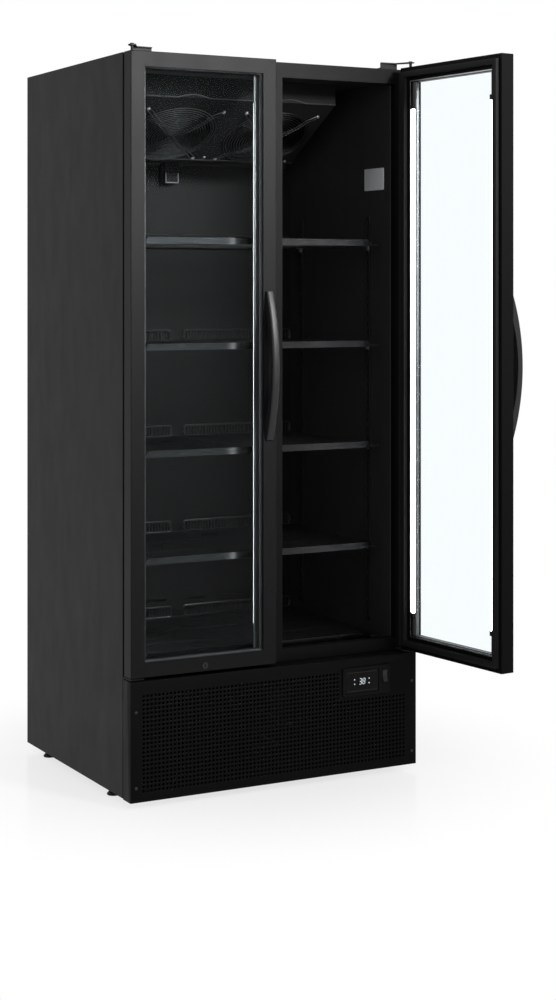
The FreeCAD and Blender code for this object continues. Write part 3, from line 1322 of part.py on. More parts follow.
def door_frame(name, way):
    body = new_body(name)
    rings = [door_ring(way, "0"), door_ring(way, "door_face")]
    ring = pad(body, draw(body, name + "_ring", "XZ_Plane", FACE, rings), "door_depth")
    face_y = value(FACE)
    edges_x = [value(text) for text in door_span(way, "0")]
    edges_z = [value("door_bottom"), value(DOOR_TOP)]
    dress(body, "Fillet", ring, "door_edge_radius",
          lambda ends: all(near(end.y, face_y) for end in ends)
          and (all(near(end.x, edges_x[0]) for end in ends) or all(near(end.x, edges_x[1]) for end in ends)
               or all(near(end.z, edges_z[0]) for end in ends)
               or all(near(end.z, edges_z[1]) for end in ends)))
    rebate = draw(body, name + "_rebate", "XZ_Plane", GLASS_FRONT, [door_ring(way, REBATE)])
    pocket(body, rebate, "door_depth")
    lock_x = f"{way}*({HALF} - pin_inset - lock_offset)"
    lock_z = "(door_bottom + lock_rise)"
    barrel = draw(body, name + "_lock_bore", "XZ_Plane", FACE,
                  circles=[(lock_x, lock_z, "lock_radius + lock_play")])
    pocket(body, barrel, "lock_depth + tongue_thickness + tongue_play")
    slot = draw(body, name + "_lock_slot", "XY_Plane", "door_bottom", [rectangle(
        (f"{lock_x} - {way}*(tongue_length + tongue_play)",
         f"{lock_x} + {way}*(tongue_height/2 + tongue_play)"),
        (f"{FACE} + lock_depth - tongue_play", f"{FACE} + lock_depth + tongue_thickness + tongue_play"))])
    pocket(body, slot, "lock_rise + tongue_height/2 + tongue_play")
    for row, level in (("lower", "door_bottom"), ("upper", f"{DOOR_TOP} - pin_depth")):
        bore = draw(body, f"{name}_{row}_bore", "XY_Plane", level,
                    circles=[("0", "0", "pin_radius + pin_play")])
        pocket(body, bore, "pin_depth")
    return body


def ring_piece(name, way, level, depth, outer, inner):
    """A rectangular ring in the door, between two insets."""
    body = new_body(name)
    rings = [door_ring(way, outer), door_ring(way, inner)]
    pad(body, draw(body, name + "_ring", "XZ_Plane", level, rings), depth)
    return body


def glass_panes(name, way):
    panes = []
    for label, level in (("Outer", GLASS_FRONT), ("Inner", f"{GLASS_FRONT} + pane_thickness + glass_cavity")):
        body = new_body(name + label)
        edge = [door_ring(way, f"({REBATE} + glass_play)")]
        pad(body, draw(body, f"{name}_{label}", "XZ_Plane", level, edge), "pane_thickness")
        panes.append(body)
    return group(name, panes)


def door_light(name, edge):
    """A light bar beside the glass: an aluminium base, a half-round diffuser and two end caps."""
    rail_low = "(door_bottom + door_face + light_end_gap)"
    rail_high = f"({DOOR_TOP} - door_face - light_end_gap)"
    base = new_body(name + "Base")
    back = f"({GLASS_BACK} + light_base)"
    pad(base, draw(base, name + "_base", "XY_Plane", rail_low, [
        rectangle((f"{edge} - light_width/2", f"{edge} + light_width/2"), (GLASS_BACK, back))]),
        f"{rail_high} - {rail_low}")
    low = "(door_bottom + door_face + light_bottom_gap)"
    high = f"({DOOR_TOP} - door_face - light_top_gap)"
    half_round = [
        (f"{edge} - light_radius", back), (f"{edge} + light_radius", back),
        (f"{edge} + light_radius", f"{back} + light_stand", edge, f"{back} + light_stand + light_rise",
         "(light_radius*light_radius + light_rise*light_rise)/(2*light_rise)"),
        (f"{edge} - light_radius", f"{back} + light_stand")]
    tube = new_body(name + "Tube")
    pad(tube, draw(tube, name + "_tube", "XY_Plane", low, [half_round]), f"{high} - {low}")
    caps = []
    for label, start in (("Low", f"{low} - light_cap"), ("High", high)):
        cap = new_body(name + "Cap" + label)
        pad(cap, draw(cap, f"{name}_cap{label}", "XY_Plane", start, [rectangle(
            (f"{edge} - light_radius - light_cap_lip", f"{edge} + light_radius + light_cap_lip"),
            (back, f"{back} + light_stand + light_rise + light_cap_lip"))]), "light_cap")
        caps.append(cap)
    return [base, tube] + caps


def door_handle(name, way):
    """A bow handle: a crescent blade with flat pads at both ends."""
    body = new_body(name)
    middle = f"((door_bottom + {DOOR_TOP})/2 - handle_drop)"
    low = f"({middle} - handle_length/2)"
    high = f"({middle} + handle_length/2)"
    gap = "(handle_bow - handle_grip)"
    inner_half = "(handle_length/2 - handle_pad)"
    outer_rise = "(handle_bow - handle_tip)"
    profile = [
        (FACE, low), (FACE, f"{low} + handle_pad", f"{FACE} - {gap}", middle,
                      f"({inner_half}*{inner_half} + {gap}*{gap})/(2*{gap})"),
        (FACE, f"{high} - handle_pad"), (FACE, high),
        (f"{FACE} - handle_tip", high, f"{FACE} - handle_bow", middle,
         f"(handle_length*handle_length/4 + {outer_rise}*{outer_rise})/(2*{outer_rise})"),
        (f"{FACE} - handle_tip", low)]
    centre = f"{way}*({DOOR_WIDTH} - pin_inset - handle_inset)"
    side = draw(body, name + "_side", "YZ_Plane", f"{centre} - handle_width/2", [profile])
    blade = pad(body, side, "handle_width")
    tip_y = value(f"{FACE} - handle_tip")
    dress(body, "Chamfer", blade, "handle_round",
          lambda ends: len(ends) == 2 and all(near(end.y, tip_y) for end in ends)
          and near(ends[0].x, ends[1].x))
    return body


def door_lock(name, way):
    """A key barrel with a tongue that turns down into the panel below."""
    body = new_body(name)
    barrel = draw(body, name + "_barrel", "XZ_Plane", "-lock_depth - lock_proud",
                  circles=[("0", "0", "lock_radius")])
    pad(body, barrel, "lock_depth + lock_proud")
    tongue = draw(body, name + "_tongue", "XZ_Plane", "0", [rectangle(
        (f"-{way}*tongue_length", f"{way}*tongue_height/2"), ("-tongue_height/2", "tongue_height/2"))])
    pad(body, tongue, "tongue_thickness")
    key = draw(body, name + "_key_slot", "XZ_Plane", "-lock_depth - lock_proud", [
        rectangle(("-key_slot_width/2", "key_slot_width/2"), ("-lock_radius/2", "lock_radius/2"))])
    pocket(body, key, "lock_depth/2")
    return body


def on_hinge(thing, hand, turn):
    """Hang a door piece on its hinge pin, turned about the pin."""
    return place(thing, f"{hand}*{PIN_X}", PIN_Y, "0", Z_AXIS, turn)


for side, hand, way, turn in (("left", "-1", "1", "0"), ("right", "1", "-1", "right_door_open")):
    title = side.title()
    keep(f"door_frame_{side}", on_hinge(door_frame(f"DoorFrame{title}", way), hand, turn))
    keep(f"door_glass_{side}", on_hinge(glass_panes(f"DoorGlass{title}", way), hand, turn))
    spacer = ring_piece(f"GlassSpacer{title}", way, f"{GLASS_FRONT} + pane_thickness", "glass_cavity",
                        f"({REBATE} + glass_play)", f"({REBATE} + glass_play + spacer_width)")
    keep(f"glass_spacer_{side}", on_hinge(spacer, hand, turn))
    bead = ring_piece(f"GlassBead{title}", way, GLASS_BACK, "bead_depth", f"({REBATE} + fit_gap)",
                      f"({REBATE} + bead_width)")
    keep(f"glass_bead_{side}", on_hinge(bead, hand, turn))
    gasket = ring_piece(f"DoorGasket{title}", way, FACE_BACK, "door_gap - fit_gap", "gasket_inset",
                        "(gasket_inset + gasket_width)")
    keep(f"door_gasket_{side}", on_hinge(gasket, hand, turn))
    lights = []
    light_inset = f"({REBATE} + bead_width + light_width/2 + fit_gap)"
    for row, middle in zip(("Hinge", "Free"), door_span(way, light_inset)):
        lights += door_light(f"DoorLight{title}{row}", middle)
    keep(f"door_lights_{side}", on_hinge(group(f"DoorLights{title}", lights), hand, turn))
    keep(f"door_handle_{side}", on_hinge(door_handle(f"DoorHandle{title}", way), hand, turn))
    lock = place(door_lock(f"DoorLockPiece{title}", way), f"{way}*({HALF} - pin_inset - lock_offset)",
                 f"{FACE} + lock_depth", "door_bottom + lock_rise")
    keep(f"door_lock_{side}", on_hinge(group(f"DoorLock{title}", [lock]), hand, turn))

# ---------------------------------------------------------------- check and write

doc.recompute()
for item in doc.Objects:
    if "Invalid" in item.State or "Error" in item.State:
        raise RuntimeError(f"{item.Name} ({item.Label}) failed: {item.State}")
os.makedirs("parts", exist_ok=True)
for label, item in nodes.items():
    if item.Shape.isNull() or not item.Shape.isValid() or not item.Shape.Solids:
        raise RuntimeError(f"{label} has no valid solid")
    item.Shape.exportStep(f"parts/{label}.step")
print(f"{len(nodes)} sub-parts written")
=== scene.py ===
"""Glass door merchandiser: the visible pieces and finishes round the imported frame.

Everything is in metres in the frame's own axes: X to the right, Y to the back, Z up from the floor.
"""

import json
import math

import bmesh
import bpy
from bpy.props import FloatProperty, FloatVectorProperty, IntProperty, PointerProperty
from mathutils import Matrix, Vector


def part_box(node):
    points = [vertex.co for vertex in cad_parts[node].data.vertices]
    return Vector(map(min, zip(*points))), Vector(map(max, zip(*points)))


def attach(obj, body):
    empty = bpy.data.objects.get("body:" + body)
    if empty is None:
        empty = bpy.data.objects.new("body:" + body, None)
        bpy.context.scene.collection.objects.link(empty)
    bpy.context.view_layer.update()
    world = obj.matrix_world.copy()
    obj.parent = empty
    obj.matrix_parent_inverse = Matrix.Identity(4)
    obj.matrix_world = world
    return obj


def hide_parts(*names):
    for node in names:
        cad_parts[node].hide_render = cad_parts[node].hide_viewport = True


bl_info = {
    "name": "Glass Door Merchandiser",
    "version": (1, 0, 0),
    "blender": (4, 5, 0),
    "location": "View3D > Sidebar > Merchandiser",
    "description": "Builds the visible pieces and finishes of an upright two-door merchandiser",
    "category": "Object",
}

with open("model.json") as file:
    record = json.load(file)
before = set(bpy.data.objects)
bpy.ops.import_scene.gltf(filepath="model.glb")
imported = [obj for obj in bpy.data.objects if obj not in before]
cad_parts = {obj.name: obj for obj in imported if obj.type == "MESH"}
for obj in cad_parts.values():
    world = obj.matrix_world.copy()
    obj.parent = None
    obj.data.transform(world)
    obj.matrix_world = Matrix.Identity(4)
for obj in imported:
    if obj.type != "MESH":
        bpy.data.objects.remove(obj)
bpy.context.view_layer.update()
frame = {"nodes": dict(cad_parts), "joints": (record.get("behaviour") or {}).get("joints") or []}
JOINTS = {joint["name"]: joint for joint in frame["joints"]}
MERGE = 0.00001
CORNER_STEPS = 4
HANDS = {"left": -1, "right": 1}
UPRIGHT = Matrix.Rotation(math.pi / 2, 4, "X")
LEFT_PIN = Vector(JOINTS["door_left_hinge"]["pos_m"])
RIGHT_PIN = Vector(JOINTS["door_right_hinge"]["pos_m"])
RIGHT_OPEN = math.radians(-JOINTS["door_right_hinge"]["range_deg"][0])


# ---- shader maths

class Signal:
    """One socket of a material, for use in plain arithmetic."""

    def __init__(self, recipe, socket):
        self.recipe = recipe
        self.socket = socket

    def __add__(self, other):
        return self.recipe.maths("ADD", self, other)

    def __sub__(self, other):
        return self.recipe.maths("SUBTRACT", self, other)

    def __rsub__(self, other):
        return self.recipe.maths("SUBTRACT", other, self)

    def __mul__(self, other):
        return self.recipe.maths("MULTIPLY", self, other)

    def __gt__(self, other):
        return self.recipe.maths("GREATER_THAN", self, other)

    def __lt__(self, other):
        return self.recipe.maths("LESS_THAN", self, other)

    __radd__ = __add__
    __rmul__ = __mul__


class Recipe:
    """The nodes of one material or of the world."""

    def __init__(self, tree):
        self.tree = tree
        self.tree.nodes.clear()

    def node(self, kind, settings=None, inputs=None, output=0):
        """Add a node with its settings, then its socket values or links, and return one output."""
        made = self.tree.nodes.new(kind)
        for name, setting in (settings or {}).items():
            setattr(made, name, setting)
        for name, given in (inputs or {}).items():
            if isinstance(given, Signal):
                self.tree.links.new(given.socket, made.inputs[name])
            else:
                made.inputs[name].default_value = given
        return Signal(self, made.outputs[output]) if made.outputs else None

    def maths(self, operation, *values):
        return self.node("ShaderNodeMath", {"operation": operation}, dict(enumerate(values)))

    def ramp(self, signal, low, high, start=0.0, end=1.0):
        """A value that goes smoothly from start to end as a signal goes from low to high."""
        return self.node("ShaderNodeMapRange", {"interpolation_type": "SMOOTHSTEP"},
                         {"Value": signal, "From Min": low, "From Max": high, "To Min": start, "To Max": end})

    def place(self, middle=(0, 0, 0), turn=0.0, scale=(1, 1, 1)):
        """Object coordinates from a middle point, turned about Z."""
        spot = self.node("ShaderNodeTexCoord", output="Object")
        moved = self.node("ShaderNodeVectorMath", {"operation": "SUBTRACT"}, {0: spot, 1: tuple(middle)})
        return self.node("ShaderNodeMapping", None,
                         {"Vector": moved, "Rotation": (0, 0, turn), "Scale": scale})

    def axes(self, spot):
        """The three parts of a vector."""
        return [self.node("ShaderNodeSeparateXYZ", None, {0: spot}, output=part) for part in range(3)]

    def noise(self, scale, detail=2.0, stretch=(1, 1, 1)):
        return self.node("ShaderNodeTexNoise", None,
                         {"Vector": self.place(scale=stretch), "Scale": scale, "Detail": detail})

    def cells(self, scale):
        return self.node("ShaderNodeTexVoronoi", None, {"Vector": self.place(), "Scale": scale})

    def blend(self, share, first, second):
        """A colour between two colours."""
        return self.node("ShaderNodeMix", {"data_type": "RGBA"}, {0: share, 6: first, 7: second}, output=2)

    def mottled(self, pattern, colour, low, high=1.0):
        """A colour made darker or lighter by a pattern, from one level to another."""
        return self.blend(pattern, shade(colour, low), shade(colour, high))

    def swing(self, middle, pattern, reach):
        """A value that a pattern moves to both sides of a middle, over a reach."""
        return middle + (pattern - 0.5) * reach

    def straight(self):
        """1 for what is seen directly, in a mirror or through glass, and 0 for light on its way."""
        seen = [self.node("ShaderNodeLightPath", output=kind)
                for kind in ("Is Camera Ray", "Is Glossy Ray", "Is Transmission Ray")]
        return self.maths("MINIMUM", seen[0] + seen[1] + seen[2], 1.0)

    def bump(self, height, depth):
        return self.node("ShaderNodeBump", None, {"Height": height, "Distance": depth})

    def principled(self, **inputs):
        """A Principled shader, with each socket named by words joined with underscores."""
        named = {name.replace("_", " "): given for name, given in inputs.items()}
        return self.node("ShaderNodeBsdfPrincipled", None, named)

    def finish(self, shader):
        self.node("ShaderNodeOutputMaterial", None, {"Surface": shader})

    def surface(self, **inputs):
        """Finish with one Principled shader."""
        self.finish(self.principled(**inputs))


def new_recipe(name):
    material = bpy.data.materials.new(name)
    material.use_nodes = True
    return Recipe(material.node_tree)


def darker(colour, level):
    return [part * level for part in colour]


def shade(colour, level=1.0):
    """A plain RGBA colour, made lighter or darker."""
    return (*darker(colour, level), 1.0)


# ---- finishes

# Depths of fine relief, and the width of a mitre's hairline, in metres.
ORANGE_PEEL = 0.00001
DOOR_PEEL = 0.000008
PLASTIC_GRAIN = 0.00002
METAL_STREAK = 0.00002
FOAM_PIT = 0.0002
RUBBER_SKIN = 0.00003
LABEL_CREASE = 0.0002
MITRE_LINE = 0.00035
# Glass: a low index, so that it hardly mirrors, and where its wiping marks start and how dull they are.
GLASS_IOR = 1.07
WIPE_LEVEL = 0.74
WIPE_ROUGHNESS = 0.012


def coated_steel(name, colour, roughness, specular):
    """Powder coat: a fine orange peel, faint mottling and a little wear in the gloss."""
    recipe = new_recipe(name)
    peel = recipe.noise(1100.0, 3.0)
    cloud = recipe.noise(5.0, 4.0)
    smear = recipe.noise(26.0, 5.0, (1, 1, 0.35))
    recipe.surface(
        Base_Color=recipe.mottled(cloud, colour, 0.82, 1.2),
        Roughness=recipe.swing(recipe.swing(roughness, smear, 0.16), peel, 0.1),
        Specular_IOR_Level=specular, Normal=recipe.bump(peel, ORANGE_PEEL))


def door_profile(side, colour, roughness, specular):
    """Satin coat of a door frame, with hairline joints where its corners are mitred."""
    recipe = new_recipe(f"profile_coat_{side}")
    low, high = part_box("door_frame_left")
    pin, turn = (LEFT_PIN, 0.0) if side == "left" else (RIGHT_PIN, -RIGHT_OPEN)
    across, _, height = recipe.axes(recipe.place((pin.x, pin.y, 0), turn))
    from_pin = across * -HANDS[side]
    from_edge = recipe.maths("MINIMUM", from_pin - (low.x - LEFT_PIN.x), high.x - LEFT_PIN.x - from_pin)
    from_end = recipe.maths("MINIMUM", height - low.z, high.z - height)
    joint = recipe.maths("ABSOLUTE", from_edge - from_end) < MITRE_LINE
    peel = recipe.noise(1300.0, 3.0)
    cloud = recipe.noise(4.0, 4.0)
    smear = recipe.noise(18.0, 5.0, (1, 1, 0.2))
    recipe.surface(
        Base_Color=recipe.blend(joint, recipe.mottled(cloud, colour, 0.85, 1.15), shade(colour, 0.2)),
        Roughness=recipe.swing(roughness, smear, 0.12) + joint * 0.4, Specular_IOR_Level=specular,
        Normal=recipe.bump(peel, DOOR_PEEL))


def moulded_plastic(name, colour, roughness, specular):
    """Plastic with a spark-eroded grain."""
    recipe = new_recipe(name)
    cloud = recipe.noise(14.0, 3.0)
    recipe.surface(
        Base_Color=recipe.mottled(cloud, colour, 0.85, 1.15),
        Roughness=recipe.swing(roughness, cloud, 0.14), Specular_IOR_Level=specular,
        Normal=recipe.bump(recipe.cells(1400.0), PLASTIC_GRAIN))


def bare_metal(name, colour, roughness, stretch):
    """Metal with drawn or rolled streaks."""
    recipe = new_recipe(name)
    streaks = recipe.noise(500.0, 4.0, stretch)
    cloud = recipe.noise(30.0, 3.0)
    recipe.surface(
        Base_Color=recipe.mottled(cloud, colour, 0.8, 1.08), Metallic=1.0,
        Roughness=recipe.swing(recipe.swing(roughness, streaks, 0.22), cloud, 0.12),
        Normal=recipe.bump(streaks, METAL_STREAK))


def foam_cells(look):
    """Open cells of cut foam, seen only through the gaps."""
    recipe = new_recipe("foam_cells")
    cells = recipe.cells(700.0)
    recipe.surface(Base_Color=recipe.mottled(cells, look.foam_shade_colour, 0.7), Roughness=0.85 + cells * 0.1,
                   Normal=recipe.bump(cells, FOAM_PIT))


def door_glass(look):
    """Clear glass that hardly mirrors, with faint wiping marks, and lets the lamps through."""
    recipe = new_recipe("door_glass")
    marks = recipe.noise(9.0, 6.0, (1, 1, 0.25))
    pane = recipe.principled(Base_Color=shade(look.glass_colour), Transmission_Weight=1.0, IOR=GLASS_IOR,
                             Roughness=(marks > WIPE_LEVEL) * WIPE_ROUGHNESS)
    clear = recipe.node("ShaderNodeBsdfTransparent", None, {"Color": shade(look.glass_colour)})
    lamps = recipe.node("ShaderNodeLightPath", output="Is Shadow Ray")
    recipe.finish(recipe.node("ShaderNodeMixShader", None, {0: lamps, 1: pane, 2: clear}))


def gasket_rubber(look):
    """Extruded rubber with a fine skin and dust in it."""
    recipe = new_recipe("gasket_rubber")
    dust = recipe.noise(60.0, 5.0)
    recipe.surface(
        Base_Color=recipe.mottled(dust, look.trim_colour, 0.75, 1.4),
        Roughness=recipe.swing(0.6, dust, 0.2), Specular_IOR_Level=0.1,
        Normal=recipe.bump(recipe.noise(2200.0), RUBBER_SKIN))


def tube_light(look, pitch):
    """A diffuser over a row of light chips: white along its middle, dotted along its rims."""
    recipe = new_recipe("light_tube")
    height = recipe.axes(recipe.place())[2]
    chips = recipe.maths("SINE", height * (2 * math.pi / pitch)) * 0.5 + 0.5
    slant = recipe.node("ShaderNodeLayerWeight", None, {"Blend": 0.5}, output=1)
    rim = recipe.ramp(slant + chips * 0.5, 0.75, 1.05)
    recipe.surface(
        Base_Color=shade(look.light_colour, 0.5), Roughness=0.4 + chips * 0.1,
        Emission_Color=recipe.mottled(rim, look.light_colour, 1.0, 0.015),
        Emission_Strength=look.light_strength)


def tube_reflector(look, pitch):
    """The pale reflector under a tube, with a grid of darker dots at the chips' pitch: a painted reflection
    of the light chips.
    """
    recipe = new_recipe("light_reflector")
    turn = 2 * math.pi / pitch
    across, along, height = recipe.axes(recipe.place())
    chip_reflection_lattice = recipe.maths("SINE", height * turn) * recipe.maths("SINE", (across + along) * (turn * 1.5))
    dots = recipe.ramp(chip_reflection_lattice, -0.1, 0.15)
    # Painted reflection: the darker dots, spaced at the chip pitch, stand in for the light chips mirrored in
    # the reflector.
    recipe.surface(Base_Color=recipe.mottled(dots, look.light_colour, 0.09, 0.015),
                   Roughness=0.35 + dots * 0.25)


def display_window(look):
    """Smoked window of the controller, with fine scratches in its gloss."""
    recipe = new_recipe("display_window")
    haze = recipe.noise(120.0, 6.0, (1, 1, 0.3))
    recipe.surface(Base_Color=recipe.mottled(haze, look.trim_colour, 0.3, 0.8),
                   Roughness=0.1 + haze * 0.14, Specular_IOR_Level=0.06)


def lit_marks(look):
    """Lit digits and dots, a little uneven as light guides are."""
    recipe = new_recipe("lit_marks")
    spread = recipe.noise(600.0)
    recipe.surface(
        Base_Color=shade(look.digit_colour, 0.5), Roughness=0.4 + spread * 0.1,
        Emission_Color=recipe.mottled(spread, look.digit_colour, 0.7), Emission_Strength=look.digit_strength)


def label_stock(look):
    """Bare foil label with a soft sheen and small creases."""
    recipe = new_recipe("label_stock")
    crease = recipe.noise(45.0, 5.0)
    recipe.surface(Base_Color=recipe.mottled(crease, look.label_colour, 0.8), Roughness=0.35 + crease * 0.2,
                   Metallic=0.2, Normal=recipe.bump(crease, LABEL_CREASE))


def studio_floor(look):
    """Pale floor that keeps the shadow; away from the object it is seen as plain white."""
    recipe = new_recipe("studio_floor")
    across, along, _ = recipe.axes(recipe.place())
    reach = recipe.maths("SQRT", across * across + along * along)
    grain = recipe.noise(90.0, 3.0)
    pale = recipe.principled(Base_Color=recipe.mottled(grain, look.light_colour, 0.86, 0.92),
                             Roughness=0.12 + grain * 0.06)
    white = recipe.node("ShaderNodeEmission", None, {"Color": shade(look.light_colour), "Strength": 1.0})
    fade = recipe.ramp(reach, look.floor_fade * 0.3, look.floor_fade, look.floor_white, 1.0)
    recipe.finish(recipe.node("ShaderNodeMixShader", None,
                              {0: recipe.straight() * fade, 1: pale, 2: white}))


# side: colour, roughness, specular level
# Painted shade: the open right door's frame takes the darker front colour and less gloss, a shaded copy of
# the left door's coat.
PROFILES = {"left": ("profile_colour", 0.48, 0.09), "right": ("shaded_front_colour", 0.5, 0.045)}
# name: colour, its level, roughness, specular level
COATS = {
    "sheet_coat": ("sheet_colour", 1.0, 0.5, 0.07),
    "top_coat": ("sheet_colour", 1.0, 0.85, 0.03),
    # Painted shade: the coats that use the front colour are darker copies of the cabinet's black coat.
    "lower_front_coat": ("shaded_front_colour", 1.0, 0.5, 0.04),
    "frame_coat": ("shaded_front_colour", 1.0, 0.45, 0.06),
    "liner_coat": ("liner_colour", 1.0, 0.45, 0.12),
    "cover_coat": ("trim_colour", 1.0, 0.6, 0.07),
    # Painted shade: the duct panel's coat is near black for the shade at the back of the cell.
    "duct_coat": ("shaded_duct_colour", 1.0, 0.5, 0.05),
    "chassis_coat": ("shaded_front_colour", 1.0, 0.6, 0.1),
    "motor_coat": ("shaded_front_colour", 1.0, 0.5, 0.2),
    "coil_coat": ("shaded_front_colour", 1.0, 0.5, 0.1),
    "hinge_coat": ("trim_colour", 1.0, 0.5, 0.12),
    "bead_coat": ("profile_colour", 1.0, 0.45, 0.05),
    "shelf_wire": ("wire_colour", 1.0, 0.3, 0.25),
    "pilaster_steel": ("wire_colour", 1.0, 0.36, 0.5),
    "edge_coat": ("wire_colour", 1.0, 0.3, 0.9),
}
PLASTICS = {
    "dark_plastic": ("trim_colour", 1.0, 0.5, 0.2),
    "handle_plastic": ("trim_colour", 1.0, 0.42, 0.25),
    "fan_plastic": ("trim_colour", 0.5, 0.5, 0.06),
    "bezel_plastic": ("trim_colour", 0.5, 0.45, 0.05),
    "rocker_plastic": ("trim_colour", 1.0, 0.34, 0.3),
    # Painted highlight: the grey of the strips along the controller's window.
    "grey_marks": ("label_colour", 0.08, 0.5, 0.4),
    "pale_plastic": ("label_colour", 0.12, 0.5, 0.4),
}
# name: colour, its level, roughness, stretch of the streaks
METALS = {
    "ticket_rail": ("rail_colour", 1.0, 0.24, (0.02, 1, 1)),
    "guard_wire": ("metal_colour", 0.18, 0.32, (1, 1, 1)),
    "zinc_plate": ("metal_colour", 1.0, 0.34, (1, 1, 1)),
    "zinc_dark": ("rail_colour", 1.0, 0.4, (1, 1, 1)),
    "bright_silver": ("metal_colour", 1.0, 0.3, (1, 1, 1)),
    # Painted shade: silver at a third of its colour for the spacers, whose upright sides sit in shade.
    "dull_silver": ("metal_colour", 0.3, 0.5, (1, 1, 1)),
    # Painted shade: the aluminium of the evaporator coil at a tenth of its colour, for the dark behind the
    # fans.
    "coil_aluminium": ("metal_colour", 0.1, 0.5, (1, 1, 0.02)),
    # Painted shade: the pipes at 0.4 of the copper colour, for the dark machine compartment.
    "copper_pipe": ("shaded_copper_colour", 0.4, 0.5, (1, 1, 1)),
}


# ---- sizes and colours

def length(name, description, default):
    return FloatProperty(name=name, description=description, default=default, unit="LENGTH",
                         subtype="DISTANCE")


def tint(name, description, default):
    return FloatVectorProperty(name=name, description=description, default=default, size=3, min=0.0,
                               soft_max=1.0, subtype="COLOR")


def pair(name, description, default):
    return FloatVectorProperty(name=name, description=description, default=default, size=2,
                               unit="LENGTH")


def level(name, description, default):
    return FloatProperty(name=name, description=description, default=default)


class MerchandiserLook(bpy.types.PropertyGroup):
    """Colours and light of the whole model."""
    sheet_colour: tint("Sheet", "Powder coat of the sides, back and top", (0.013, 0.013, 0.0135))
    # Painted shade: the cabinet's black coat, set darker than on the sides for the front faces and the
    # machine compartment, which get less light.
    shaded_front_colour: tint("Lower front", "Coat of the perforated lower front", (0.0025, 0.0025, 0.0027))
    profile_colour: tint("Door profile", "Coat of the door frames", (0.003, 0.003, 0.0032))
    trim_colour: tint("Trim", "Black plastic trim", (0.007, 0.007, 0.0075))
    liner_colour: tint("Liner", "Walls of the cell", (0.02, 0.02, 0.0205))
    # Painted shade: the duct panel is a light grey sheet, set near black here for the shade that falls on it
    # at the back of the cell.
    shaded_duct_colour: tint("Duct panel", "Panel in front of the rear air duct", (0.0065, 0.0065, 0.0067))
    wire_colour: tint("Wire", "Coated shelf wire", (0.012, 0.012, 0.0125))
    rail_colour: tint("Ticket rail", "Metal of the shelf ticket rails", (0.03, 0.03, 0.0312))
    metal_colour: tint("Silver", "Zinc and aluminium", (0.66, 0.67, 0.69))
    # Painted shade: the copper is darkened for the shade of the machine compartment, not by age.
    shaded_copper_colour: tint("Copper", "Refrigerant pipes, dulled with age", (0.16, 0.085, 0.055))
    # Painted shade: the foam is set near black so that the gaps where it shows read as shade.
    foam_shade_colour: tint("Foam", "Insulation with its dark facing", (0.012, 0.0118, 0.0115))
    glass_colour: tint("Glass", "Tint of each pane", (0.972, 0.998, 1.0))
    light_colour: tint("Light", "Light of the tubes and of the studio", (1.0, 1.0, 1.0))
    digit_colour: tint("Digits", "Light of the display", (0.85, 0.92, 1.0))
    label_colour: tint("Label", "Bare rating label", (0.72, 0.73, 0.74))
    light_strength: level("Tube strength", "Emission of the tubes", 12.0)
    digit_strength: level("Digit strength", "Emission of the lit digits and dots", 0.6)
    floor_white: FloatProperty(name="Floor white", description="Share of plain white near the object",
                               default=0.72, min=0.0, max=1.0, subtype="FACTOR")
    floor_fade: length("Floor fade", "Distance at which the floor is plain white", 1.1)


class GrilleSizes(bpy.types.PropertyGroup):
    """Perforated front of the machine compartment."""
    hole_pitch: length("Hole pitch", "Distance between hole centres", 0.01128)
    hole_radius: length("Hole radius", "Radius of one hole", 0.0037)
    margin: length("Margin", "Plain border beside the holes", 0.031)
    foot: length("Foot", "Plain border under the holes", 0.023)
    head: length("Head", "Plain border above the holes", 0.026)
    sheet: length("Sheet", "Thickness of the sheet", 0.0012)
    edge: length("Edge radius", "Rounding of the folded edges", 0.002)
    clearance: length("Clearance", "Plain strip round the controller", 0.006)
    window_inset: length("Window inset", "Edge of the cut-out inside the controller's face", 0.0037)
    keeper_near: length("Keeper near end", "Keeper slot's end nearer the middle", 0.2149)
    keeper_far: length("Keeper far end", "Keeper slot's end nearer the side", 0.2489)
    keeper_front: length("Keeper front", "Distance of the slot from the front face", 0.0148)
    keeper_width: length("Keeper width", "Width of the slot", 0.0054)


class ControllerSizes(bpy.types.PropertyGroup):
    """Face of the controller."""
    corner: length("Corner", "Rounding of the window's corners", 0.004)
    digit_width: length("Digit width", "Width of a digit", 0.0072)
    digit_height: length("Digit height", "Height of a digit", 0.0155)
    digit_gap: length("Digit gap", "Distance between the two digits", 0.0038)
    stroke: length("Stroke", "Width of a digit's bar", 0.0017)
    proud: length("Proud", "Height of the marks over the window", 0.0002)
    dot: length("Dot", "Radius of a lit dot", 0.0017)
    dot_side: length("Dot side", "Distance of the dots from the middle", 0.0235)
    dot_rise: length("Dot rise", "Half the distance between a pair of dots", 0.0062)
    line_inset: length("Line inset", "Distance of the fine lines from the window's ends", 0.0068)


class ShelfSizes(bpy.types.PropertyGroup):
    """Wire shelves."""
    wire: length("Wire", "Radius of a deck wire", 0.0013)
    border: length("Border wire", "Radius of the border wire", 0.0029)
    pitch: length("Pitch", "Distance between deck wires", 0.0099)
    bend: length("Bend", "Rounding of the bent wires", 0.01)
    notch: length("Notch", "Gap in the middle of the upstand", 0.041)
    upstand: length("Upstand", "Rise of the rear edge over the ticket rail", 0.024)
    deck_drop: length("Deck drop", "Depth of the deck under the ticket rail's top", 0.009)


